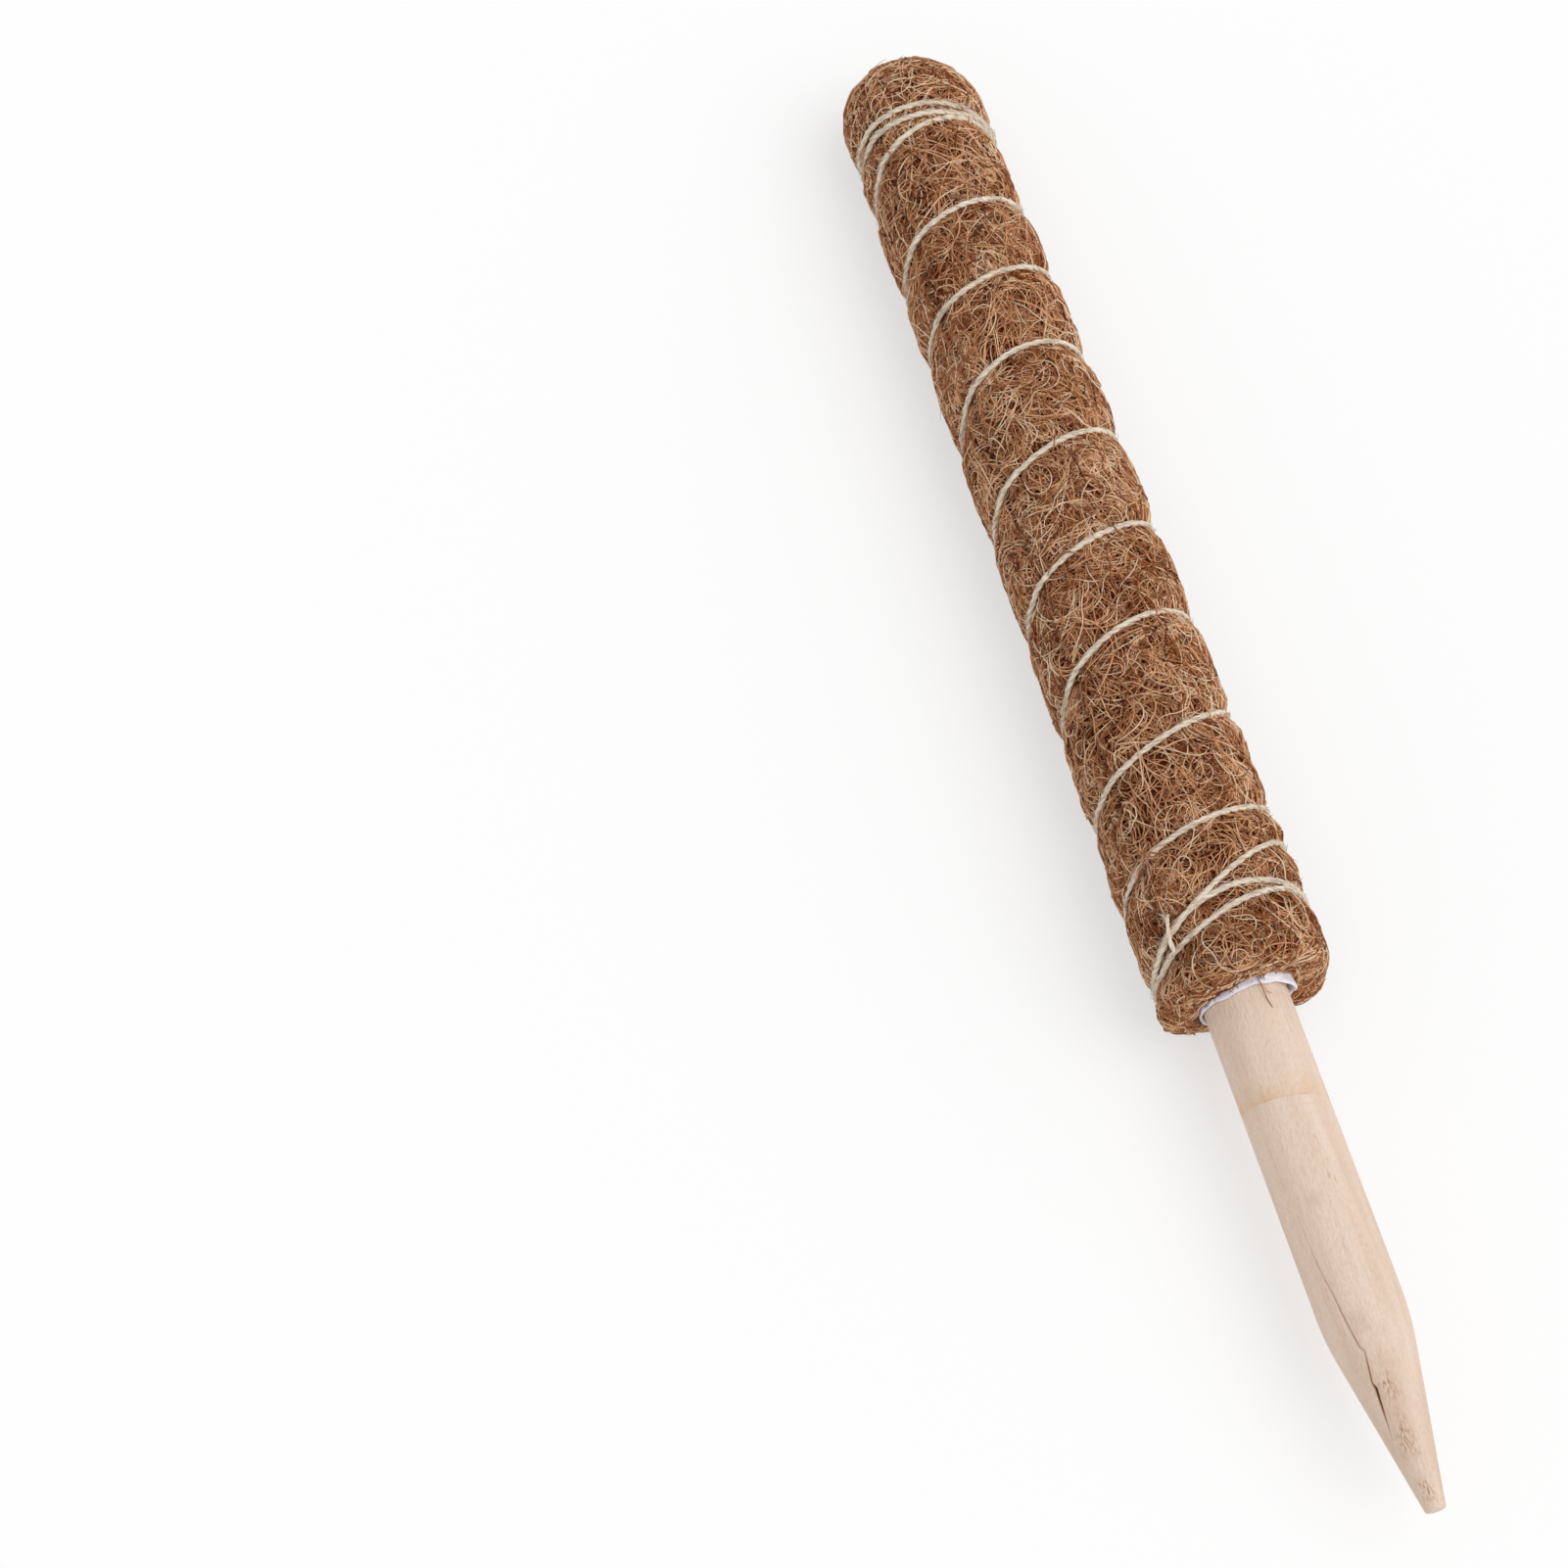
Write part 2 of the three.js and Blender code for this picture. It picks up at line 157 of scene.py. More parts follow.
def piece_of(name, mesh, finish, body):
    """An object with that finish, riding on a body."""
    mesh.materials.append(finish)
    piece = add_object(name, mesh)
    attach(piece, body)
    mesh.calc_loop_triangles()
    print(name, len(mesh.loop_triangles), "triangles")
    return piece


# %% Shells of rings
def shell(rings, joined=False):
    """Faces between neighbouring closed rings. Joined, the last ring meets the first; otherwise a fan closes
    each end. Rings run right-handed about the way that they follow each other, so faces point outwards."""
    rows, columns = rings.shape[:2]
    index = np.arange(rows * columns).reshape(rows, columns)
    lower, upper = (index, np.roll(index, -1, axis=0)) if joined else (index[:-1], index[1:])
    quads = np.stack(
        [lower, np.roll(lower, -1, axis=1), np.roll(upper, -1, axis=1), upper], axis=-1
    ).reshape(-1, 4)
    points = rings.reshape(-1, 3)
    if joined:
        return points, [quads]
    hub = len(points)
    points = np.concatenate([points, rings[[0, -1]].mean(axis=1)])
    first = np.stack([np.roll(index[0], -1), index[0], np.full(columns, hub)], axis=-1)
    last = np.stack([index[-1], np.roll(index[-1], -1), np.full(columns, hub + 1)], axis=-1)
    return points, [quads, np.concatenate([first, last])]


# %% Rings carried along many paths
def sweep(paths, outward, radii, sides, flat=1.0):
    """Carries a ring along every path: path point plus radius times (flat cos t outward + sin t sideways),
    with sideways square to both. Returns the points, the side faces and the end faces."""
    forward = unit(np.gradient(paths, axis=1))
    sideways = unit(np.cross(forward, outward))
    outward = np.cross(sideways, forward)
    turn = TAU * np.arange(sides) / sides
    spoke = flat * np.cos(turn)[:, None] * outward[:, :, None] + np.sin(turn)[:, None] * sideways[:, :, None]
    points = paths[:, :, None] + radii[:, :, None, None] * spoke
    index = np.arange(points[..., 0].size).reshape(points.shape[:3])
    after = np.roll(index, -1, axis=2)
    quads = np.stack([index[:, :-1], after[:, :-1], after[:, 1:], index[:, 1:]], axis=-1)
    ends = np.concatenate([index[:, 0, ::-1], index[:, -1]])
    return points.reshape(-1, 3), quads, ends


print("mesh helpers ready")

# %% [markdown]
# ## Colours and finishes
# A finish is a Principled shader with a few texture nodes in front of it. Colours are chosen as screen
# values from 0 to 255, and the shader wants linear light, so one function converts them.

# %% Finish helpers
WHITE = (1, 1, 1, 1)


def linear(red, green, blue):
    """Screen values from 0 to 255 as linear light, by the sRGB curve."""
    value = np.array([red, green, blue]) / 255
    light = np.where(value <= 0.04045, value / 12.92, ((value + 0.055) / 1.055) ** 2.4)
    return (*light, 1.0)


def new_finish(name, roughness, specular):
    """A material with a bare Principled shader, its node tree, and the shader."""
    finish = bpy.data.materials.new(name)
    finish.use_nodes = True
    tree = finish.node_tree
    shader = tree.nodes["Principled BSDF"]
    shader.inputs["Roughness"].default_value = roughness
    shader.inputs["Specular IOR Level"].default_value = specular
    return finish, tree, shader


def add_node(tree, kind, **values):
    """A node of that kind. Names of sockets set the socket, and other names set the node itself."""
    node = tree.nodes.new(kind)
    for name, value in values.items():
        socket = node.inputs.get(name.replace("_", " "))
        if socket is not None:
            socket.default_value = value
        else:
            setattr(node, name, value)
    return node


def add_ramp(tree, factor, stops):
    """A colour ramp through (position, colour) stops, read by factor."""
    ramp = tree.nodes.new("ShaderNodeValToRGB")
    elements = ramp.color_ramp.elements
    for position, _ in stops[1:-1]:
        elements.new(position)
    for element, (position, colour) in zip(elements, stops):
        element.position, element.color = position, colour
    tree.links.new(factor, ramp.inputs["Fac"])
    return ramp.outputs["Color"]


def multiply(tree, first, second, amount=1.0):
    """One colour times another, by an amount that is a number or a socket."""
    mix = tree.nodes.new("ShaderNodeMix")
    mix.data_type, mix.blend_type = "RGBA", "MULTIPLY"
    if isinstance(amount, float):
        mix.inputs["Factor"].default_value = amount
    else:
        tree.links.new(amount, mix.inputs["Factor"])
    tree.links.new(first, mix.inputs[6])
    tree.links.new(second, mix.inputs[7])
    return mix.outputs[2]


def noise_on(tree, vector, stretch, scale, detail):
    """A noise texture's factor, read at a vector with each axis stretched."""
    mapping = add_node(tree, "ShaderNodeMapping", Scale=stretch)
    tree.links.new(vector, mapping.inputs["Vector"])
    noise = add_node(tree, "ShaderNodeTexNoise", Scale=scale, Detail=detail)
    tree.links.new(mapping.outputs["Vector"], noise.inputs["Vector"])
    return noise.outputs["Fac"]


def grain(tree, scale, detail, stretch=1.0):
    """Noise on Object coordinates, drawn out along the pole where stretch is under one."""
    coordinates = tree.nodes.new("ShaderNodeTexCoord")
    return noise_on(tree, coordinates.outputs["Object"], (stretch, 1, 1), scale, detail)


def add_bump(tree, shader, height, distance, strength):
    """Bump on the shader's normal from a height factor; distance is in metres."""
    bump = add_node(tree, "ShaderNodeBump", Distance=distance, Strength=strength)
    tree.links.new(height, bump.inputs["Height"])
    tree.links.new(bump.outputs["Normal"], shader.inputs["Normal"])


print("finish helpers ready")

# %% [markdown]
# ## How the twine is wound
# The binding is two loops of a tie near the mouth, nine turns of spiral, and two loops of a tie under the
# dome. A helix of even pitch would look machine-made. Each turn here has three heights from the picture: at
# its left edge, facing straight up, and at its right edge. A smooth curve carries it on round the back.

# %% Heights of the turns
LEFT_ANGLE, RIGHT_ANGLE = np.radians(-80), np.radians(65)
TURNS = np.array([
    (6.2, 12.2, 14.7),
    (7.4, 15.7, 13.2),
    (8.0, 17.7, 24.2),
    (24.3, 28.9, 31.3),
    (40.4, 46.6, 51.4),
    (60.5, 69.6, 71.5),
    (81.5, 87.9, 91.3),
    (101.6, 108.8, 111.8),
    (121.6, 129.9, 130.0),
    (141.9, 146.6, 148.6),
    (157.2, 163.0, 163.8),
    (176.0, 182.7, 181.4),
    (184.8, 184.7, 182.4),
    (185.7, 187.0, 183.4),
])
FIRST_TURN, LAST_TURN = -0.25, 13.25


def through(values, turn):
    """A smooth curve through values at whole turns: each span is the cubic whose end slopes are half the
    difference of the neighbours on either side. Past the ends it runs straight on."""
    last = len(values) - 1
    inside = np.clip(turn, 0, last)
    start = np.clip(np.floor(inside).astype(int), 0, last - 1)
    part = inside - start
    before, here = values[np.maximum(start - 1, 0)], values[start]
    after, beyond = values[start + 1], values[np.minimum(start + 2, last)]
    leave, arrive = (after - before) / 2, (beyond - here) / 2
    cubic = (2 * here - 2 * after + leave + arrive) * part**3
    square = (3 * after - 3 * here - 2 * leave - arrive) * part**2
    end_slope = np.where(turn < 0, values[1] - values[0], values[-1] - values[-2])
    return cubic + square + leave * part + here + (turn - inside) * end_slope


def upper_swing(angle):
    """How the upper lean fades round the pole: cosine less one, eased off again at the back."""
    return np.cos(angle) - 1 + 0.8 * np.maximum(0, -np.cos(angle)) ** 2


def leans():
    """Upper and side lean of each turn, so that it passes its left and right heights."""
    count = np.arange(len(TURNS))
    middle = TURNS[:, 1]
    left = TURNS[:, 0] - through(middle, count + LEFT_ANGLE / TAU)
    right = TURNS[:, 2] - through(middle, count + RIGHT_ANGLE / TAU)
    system = np.array([[upper_swing(a), np.sin(a)] for a in (LEFT_ANGLE, RIGHT_ANGLE)])
    return np.linalg.solve(system, np.stack([left, right]))


UPPER_LEAN, SIDE_LEAN = leans()


def winding(turn):
    """Distance along the pole at a turn count, whole where the twine faces up: the middle height, plus the
    upper lean times its swing, plus the side lean times the sine."""
    angle = TAU * turn
    upper, side = through(UPPER_LEAN, turn), through(SIDE_LEAN, turn)
    return through(TURNS[:, 1], turn) + upper * upper_swing(angle) + side * np.sin(angle)


print("leans", UPPER_LEAN.round(1), SIDE_LEAN.round(1))

# %% [markdown]
# ## The mat's form
# The mat is a needled felt of coconut fibre, about 7 mm thick, rolled once round the tube. Its edge laps at
# one side, the twine pulls it in so that it swells between the turns, it closes over the top in a dome, and
# its cut end is rounded. All the coir below, base and fibres, settles on this form.

# %% Radius of the mat
MOUTH, DOME_FOOT = 1.0, 189.0
MOUTH_RADIUS, SHOULDER_RADIUS, BORE_RADIUS = 16.2, 13.65, 9.1
DOME_HEIGHT, DOME_FULLNESS = 14.1, 2.3
MOUTH_ROUND = 3.0
LAP_ANGLE, LAP_STEP, LAP_BLUR = np.radians(-45), 0.8, 0.008
PINCH_DEPTH, PINCH_REACH = 1.4, 2.3


def crown(along, angle, blur=LAP_BLUR):
    """The mat's full radius: an even taper with a swelling near the mouth, a sideways drift of the roll, and
    a step at the lap that falls away round the pole and rises again over the last part, blur."""
    past = np.mod((angle - LAP_ANGLE) / TAU, 1.0)
    climb = np.clip((past - 1 + blur) / blur, 0, 1)
    taper = (MOUTH_RADIUS - SHOULDER_RADIUS) / (DOME_FOOT - MOUTH)
    lap = LAP_STEP * (0.5 - past + climb * climb * (3 - 2 * climb))
    drift = (0.45 - 1.3 * (np.clip(along, 0, 205) / 195) ** 2) * np.sin(angle)
    swelling = 0.4 * np.exp(-(((along - 24) / 6) ** 2))
    return MOUTH_RADIUS - taper * (along - MOUTH) + swelling + drift + lap


def strand_distance(along, angle):
    """Distance along the pole to the nearest turn of the twine at that angle."""
    turn = np.arange(-1, len(TURNS) + 1) + angle[..., None] / TAU
    apart = np.abs(along[..., None] - winding(turn))
    return np.where((turn < FIRST_TURN) | (turn > LAST_TURN), np.inf, apart).min(axis=-1)


def near_angle(angle, degrees, reach):
    """A smooth hump round the pole, one at that angle and small past reach on either side."""
    return np.exp(-((wrapped(angle - np.radians(degrees)) / reach) ** 2))


def mat_radius(along, angle):
    """The crown, less a rounded groove at each strand and a narrow crease along the lap, plus slow lumps and
    less a hollow at the right below the dome."""
    groove = PINCH_DEPTH * np.exp(-((strand_distance(along, angle) / PINCH_REACH) ** 2))
    crease = 0.75 * np.exp(-(((wrapped(angle - LAP_ANGLE) * 15 + 0.9) / 0.9) ** 2))
    lumps = 0.16 * np.sin(along * 0.31 + 2.1 * np.sin(angle)) * np.sin(2 * angle + along * 0.043 + 0.6)
    lumps -= 0.7 * np.exp(-(((along - 170) / 6) ** 2)) * near_angle(angle, 85, 0.7)
    return crown(along, angle) - groove - crease + lumps


def mouth_edge(angle):
    """Where the mat is cut: further back on the right, with a flap lower down and a ragged edge."""
    slant = 0.75 * np.sin(angle - 0.05)
    flap = -0.4 * near_angle(angle, -112, 0.5) - 2.0 * near_angle(angle, 118, 0.55)
    ragged = 0.16 * np.sin(5 * angle + 1.0) + 0.13 * np.sin(11 * angle + 2.0) + 0.1 * np.sin(19 * angle)
    return MOUTH - 0.3 + slant + flap + ragged


# %% Settling points on the mat
def settle(points, lift):
    """Moves points onto the mat's skin, lift above it, and returns them with their outward directions. On the
    body a point moves straight out from the axis. On the dome it moves out from the middle of the foot until
    the superellipse of height and radius, squarer on the left, reads one. At the mouth it meets a quarter
    round, and inside that the flat cut. Nothing goes below the floor."""
    along, angle, radius = pole_place(points)
    edge = mouth_edge(angle)
    full = mat_radius(np.clip(along, edge, DOME_FOOT), angle)

    height = np.clip((along - DOME_FOOT) / DOME_HEIGHT, 0, None)
    reach = np.maximum(radius / full, 1e-6)
    fullness = DOME_FULLNESS - 0.4 * np.sin(angle)
    measure = (height**fullness + reach**fullness) ** (1 / fullness)
    on_dome = along > DOME_FOOT
    new_along = np.where(on_dome, DOME_FOOT + DOME_HEIGHT * height / measure, along)
    new_radius = np.where(on_dome, full * reach / measure, full)
    steep = (height / measure) ** (fullness - 1) / DOME_HEIGHT
    flat = (reach / measure) ** (fullness - 1) / full
    lean_along = np.where(on_dome, steep / np.hypot(steep, flat), 0.0)

    down = (edge + MOUTH_ROUND - along) / MOUTH_ROUND
    aside = np.maximum((radius - full + MOUTH_ROUND) / MOUTH_ROUND, 0)
    distance = np.maximum(np.hypot(down, aside), 1e-6)
    on_edge = down > 0
    down = down / distance
    new_along = np.where(on_edge, edge + MOUTH_ROUND * (1 - down), new_along)
    on_cut = np.maximum(radius, BORE_RADIUS + 0.2)
    rounded = np.where(aside > 0, full - MOUTH_ROUND + MOUTH_ROUND * aside / distance, on_cut)
    new_radius = np.where(on_edge, rounded, new_radius)
    lean_along = np.where(on_edge, -down, lean_along)

    lean_out = np.sqrt(np.maximum(0, 1 - lean_along**2))
    outward = lean_along[..., None] * AXIS + lean_out[..., None] * spoke_at(angle)
    settled = on_pole(new_along, angle, new_radius) + np.asarray(lift)[..., None] * outward
    return above_floor(settled), outward


print("mat radius over the top", mat_radius(np.array([60.0]), np.zeros(1)))

# %% [markdown]
# ## The coir's finish
# Coir is the hair of a coconut husk, and every hair has its own shade from near black to straw. Each fibre
# gets a strip of the piece's own UV map: its shade across and its length along. One ramp and a little noise
# read that map, so the shade stays with the fibre.

# %% Coir finishes
HUSK_SHADES = [
    (0.0, linear(82, 18, 0)),
    (0.25, linear(133, 67, 23)),
    (0.5, linear(180, 117, 73)),
    (0.75, linear(238, 183, 138)),
    (1.0, linear(255, 230, 198)),
]
SCRAP_SHADES = [(0.0, linear(82, 46, 30)), (1.0, linear(170, 124, 96))]


def hair_finish(name, roughness, specular, shades):
    """A finish for fibres: their own map gives the shade across, and noise along it mottles them."""
    finish, tree, shader = new_finish(name, roughness, specular)
    own_map = add_node(tree, "ShaderNodeUVMap", uv_map="OFBake").outputs["UV"]
    split = tree.nodes.new("ShaderNodeSeparateXYZ")
    tree.links.new(own_map, split.inputs["Vector"])
    mottle = noise_on(tree, own_map, (60, 5, 1), 1.0, 2.0)
    grey = add_ramp(tree, mottle, [(0.25, (0.7, 0.66, 0.62, 1)), (0.75, WHITE)])
    shade = add_ramp(tree, split.outputs["X"], shades)
    tree.links.new(multiply(tree, shade, grey), shader.inputs["Base Color"])
    return finish


coir_fibre = hair_finish("coir_fibre", 0.5, 0.2, HUSK_SHADES)
coir_scrap = hair_finish("coir_scrap", 0.8, 0.1, SCRAP_SHADES)

coir_base, tree, shader = new_finish("coir_base", 0.9, 0.1)
# Painted shade: the base's dark brown stands for the shade deep in the gaps between the fibres.
dark = add_ramp(tree, grain(tree, 900.0, 4.0), [(0.3, linear(66, 14, 0)), (0.7, linear(112, 46, 8))])
tree.links.new(dark, shader.inputs["Base Color"])
add_bump(tree, shader, grain(tree, 2500.0, 3.0), 0.0006, 1.0)
print("coir finishes ready")

# %% [markdown]
# ## The base of the mat
# Under the hairs the felt is dense. A closed shell stands for it in painted shade: its dark brown is
# the shade that fills the gaps between the fibres. The shell runs out of the bore, across the cut, round
# the edge, along the body and over the dome. It replaces the mat's solid and lies a little lower than the
# fibres.

# %% Base of the mat
BASE_DEPTH, COLUMNS = -0.75, 180
CUT_ROWS, BODY_ROWS = 6, 340
NEAR_RADIUS = 15.0


def mat_rings():
    """Rings of the base: each has one place along and one radius, then settles on the form."""
    bore_along = np.array([191.2, 100.0, 10.0, 2.6])
    in_bore = len(bore_along)
    cut_radius = np.linspace(BORE_RADIUS + 0.4, MOUTH_RADIUS - MOUTH_ROUND, CUT_ROWS)
    turn = np.linspace(0.1, 0.98, 8) * np.pi / 2
    edge_along = MOUTH + MOUTH_ROUND * (1 - np.cos(turn))
    edge_radius = MOUTH_RADIUS - MOUTH_ROUND * (1 - np.sin(turn))
    body = np.linspace(MOUTH + MOUTH_ROUND + 0.2, DOME_FOOT, BODY_ROWS)
    body_radius = np.full(BODY_ROWS, NEAR_RADIUS)
    rise = np.sin(np.linspace(0.04, 0.995, 22) * np.pi / 2)
    dome_along = DOME_FOOT + DOME_HEIGHT * rise
    dome_radius = SHOULDER_RADIUS * (1 - rise**DOME_FULLNESS) ** (1 / DOME_FULLNESS)
    along = np.concatenate([bore_along, np.full(CUT_ROWS, MOUTH - 3), edge_along, body, dome_along])
    radii = [np.full(in_bore, BORE_RADIUS), cut_radius, edge_radius, body_radius, dome_radius]
    angle = wrapped(TAU * np.arange(COLUMNS) / COLUMNS)
    rings = on_pole(along[:, None], angle[None], np.concatenate(radii)[:, None])
    rings[in_bore:] = settle(rings[in_bore:], BASE_DEPTH)[0]
    return rings


points, faces = shell(mat_rings())
mat = piece_of("coir_mat_base", mesh_of("coir_mat_base", points, faces), coir_base, "pole")
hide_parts("coir_mat")

# %% [markdown]
# ## The fibres
# Hair particles would be quick, but they are not meshes and could not be kept with the part. Instead each
# fibre walks over the mat: it takes a step, settles on the form again, and turns a little at random, as a
# stiff curly hair does. All fibres of a layer take each step together. Needled felt swirls, so they go in
# bundles of neighbours that nearly share their start, their heading and their curl.

# %% Walking fibres
DOME_SHARE, CUT_SHARE = 0.07, 0.035


def scattered(rng, count):
    """Start points spread evenly over the body, the dome and the cut end, by area."""
    share = rng.random(count)
    angle = rng.uniform(-np.pi, np.pi, count)
    body = on_pole(rng.uniform(MOUTH, DOME_FOOT, count), angle, NEAR_RADIUS)
    heading = unit(rng.normal(size=(count, 3)))
    heading += 2 * np.maximum(0, -(heading @ AXIS))[:, None] * AXIS
    dome = RIM + DOME_FOOT * AXIS + 13 * heading
    cut = on_pole(MOUTH - 2, angle, np.sqrt(rng.uniform(BORE_RADIUS**2, 14**2, count)))
    starts = np.where((share < DOME_SHARE)[:, None], dome, body)
    return np.where((share > 1 - CUT_SHARE)[:, None], cut, starts)


def shared(rng, count, bundle, spread, own):
    """Random values that a bundle nearly shares: one draw for it, plus a little for each fibre."""
    return np.repeat(rng.normal(0, spread, count // bundle), bundle) + rng.normal(0, own, count)


def walk(rng, starts, lengths, steps, bend, lift, bundle=1, wave=0.12):
    """Each path starts on the mat in a random direction. At every step it turns about the outward direction
    by curvature times stride, and the curvature drifts. The height is lift plus a slow wave."""
    count = len(starts)
    stride = lengths / (steps - 1)
    phase, pace = rng.uniform(0, TAU, count), rng.uniform(0.5, 1.1, count)
    point, outward = settle(starts, lift)
    toward = np.repeat(rng.normal(size=(count // bundle, 3)), bundle, axis=0)
    heading = np.cross(outward, toward + 0.3 * rng.normal(size=(count, 3)))
    curve = shared(rng, count, bundle, bend, 0.2 * bend)
    paths, directions = [point], [outward]
    for step in range(1, steps):
        heading = unit(heading - (heading * outward).sum(axis=1, keepdims=True) * outward)
        turn = (curve * stride)[:, None]
        heading = np.cos(turn) * heading + np.sin(turn) * np.cross(outward, heading)
        curve = 0.85 * curve + shared(rng, count, bundle, 0.45 * bend, 0.2 * bend)
        height = lift + wave * np.sin(phase + pace * step)
        point, outward = settle(point + stride[:, None] * heading, height)
        paths.append(point)
        directions.append(outward)
    return np.stack(paths, axis=1), np.stack(directions, axis=1)


# %% Fibre pieces
SHADE_WIDTH = 0.004


def hairs(name, paths, outward, thickness, shades, finish=coir_fibre, sides=3, flat=1.0):
    """Sweeps a thin ring along each path, tapered at both ends, with the shade across its map."""
    ease = np.linspace(0, 1, paths.shape[1])
    taper = 0.35 + 0.65 * np.minimum(1, 5 * np.minimum(ease, 1 - ease))
    points, quads, ends = sweep(paths, outward, 0.5 * thickness[:, None] * taper, sides, flat)
    middle = np.clip(shades, 0.01, 0.99)
    side = SHADE_WIDTH * (np.arange(sides + 1) / sides - 0.5)
    corner_u = np.stack([side[:-1], side[1:], side[1:], side[:-1]], axis=-1)
    corner_v = np.stack([ease[:-1], ease[:-1], ease[1:], ease[1:]], axis=-1)
    uv = np.empty(quads.shape + (2,))
    uv[..., 0] = middle[:, None, None, None] + corner_u
    uv[..., 1] = corner_v[:, None]
    end_uv = np.empty(ends.shape + (2,))
    end_uv[..., 0] = np.tile(middle, 2)[:, None] + side[:-1]
    end_uv[..., 1] = np.where(np.arange(sides) == 1, 0.02, 0.0)
    end_uv[len(paths):, :, 1] += 0.98
    mesh = mesh_of(name, points, [quads.reshape(-1, 4), ends], [uv.reshape(-1, 4, 2), end_uv])
    piece_of(name, mesh, finish, "pole")


def coir_layer(name, seed, count, bundle, length, steps, bend, lift, shade, thickness):
    """One layer of fibres. Pairs give the lowest and highest value, or for shade the middle and spread."""
    rng = np.random.default_rng(seed)
    starts = np.repeat(scattered(rng, count // bundle), bundle, axis=0)
    starts += rng.normal(0, 0.8, (count, 3))
    lifts, lengths = rng.uniform(*lift, count), rng.uniform(*length, count)
    paths, outward = walk(rng, starts, lengths, steps, bend, lifts, bundle)
    middle, spread = shade
    shades = middle + shared(rng, count, bundle, 0.6 * spread, 0.8 * spread)
    hairs(name, paths, outward, rng.uniform(*thickness, count), shades)


# The lower layers get darker mean shades than the upper ones. This is partly painted shade, for the shade
# deep among the fibres, and partly each fibre's own tone.
coir_layer("coir_under", 21, 3200, 1, (10, 22), 9, 0.14, (-0.85, -0.5), (0.45, 0.15), (0.26, 0.38))
coir_layer("coir_middle_1", 22, 2800, 4, (8, 20), 12, 0.26, (-0.6, -0.25), (0.57, 0.24), (0.22, 0.35))
coir_layer("coir_middle_2", 23, 2800, 4, (8, 20), 12, 0.26, (-0.45, -0.1), (0.59, 0.24), (0.22, 0.35))
coir_layer("coir_middle_3", 27, 2800, 4, (8, 20), 12, 0.28, (-0.35, 0.0), (0.60, 0.25), (0.22, 0.35))
coir_layer("coir_middle_4", 28, 2800, 4, (7, 18), 12, 0.30, (-0.3, 0.05), (0.61, 0.25), (0.22, 0.34))
coir_layer("coir_long", 24, 500, 1, (14, 36), 18, 0.09, (-0.2, 0.1), (0.66, 0.24), (0.26, 0.40))
coir_layer("coir_top", 25, 2000, 5, (8, 20), 15, 0.30, (-0.15, 0.2), (0.63, 0.28), (0.22, 0.36))
coir_layer("coir_curls", 26, 1800, 4, (6, 16), 15, 0.48, (-0.2, 0.25), (0.63, 0.28), (0.22, 0.34))

# %% [markdown]
# ## The jute twine
# The binding is a two-ply jute twine, a little over 1 mm thick. A bump map on a round tube would lose the
# twist at the edges, so each ply is a tube of its own that runs in a helix round the twine's middle. A map of
# its own, round and along, lets the jute's streaks lie along it.

# %% Twine finish
jute_twine, tree, shader = new_finish("jute_twine", 0.75, 0.2)
lay_map = add_node(tree, "ShaderNodeUVMap", uv_map="lay").outputs["UV"]
streaks = noise_on(tree, lay_map, (9, 0.35, 1), 1.0, 4.0)
straw = add_ramp(tree, streaks, [
    (0.28, linear(168, 140, 112)),
    (0.46, linear(240, 224, 202)),
    (0.72, linear(254, 247, 233)),
])
weathered = add_ramp(tree, grain(tree, 260.0, 2.0), [(0.3, (0.88, 0.85, 0.82, 1)), (0.65, WHITE)])
tree.links.new(multiply(tree, straw, weathered), shader.inputs["Base Color"])
add_bump(tree, shader, streaks, 0.0003, 0.8)

PALE_SHADES = [(0.0, linear(216, 192, 164)), (1.0, linear(255, 250, 240))]
jute_hair = hair_finish("jute_hair", 0.75, 0.2, PALE_SHADES)
print("twine finishes ready")

# %% Twine geometry
TWINE_SUNK, TWINE_RADIUS = 0.42, 0.62
PLY_RADIUS, PLY_OFFSET, PLY_LAY = 0.43, 0.15, 4.4
PLY_SIDES, MAP_ROW = 9, 48
TWINE_BLUR, TWINE_LOWEST = 0.07, 1.1
CROSSINGS = ((1.86, 0.2, 0.6), (1.25, 0.2, 0.5), (12.17, 0.14, 0.6), (12.8, 0.12, 0.4), (13.2, 0.15, 0.2))


def stacking(turn):
    """How far the twine rides up where it crosses the tie's other loops: a smooth hump at each crossing, with
    a middle, a reach and a height."""
    rise = np.zeros_like(turn)
    for middle, reach, height in CROSSINGS:
        rise += height * np.clip(1 - ((turn - middle) / reach) ** 2, 0, 1) ** 2
    return rise


def twine_middle(first, last):
    """Centre points of a stretch of the winding, about three to a millimetre, sunk into the mat."""
    turn = np.linspace(first, last, int((last - first) * 260) + 2)
    along, angle = winding(turn), TAU * turn
    radius = crown(along, angle, TWINE_BLUR) - TWINE_SUNK - TWINE_RADIUS + stacking(turn)
    return above_floor(on_pole(along, angle, radius), TWINE_LOWEST)


def twine_frame(middle):
    """Two directions at each point of a twine: out of the mat and sideways, both square to its run."""
    forward = unit(np.gradient(middle, axis=0))
    _, angle, _ = pole_place(middle)
    sideways = unit(np.cross(forward, spoke_at(angle)))
    return np.cross(sideways, forward), sideways


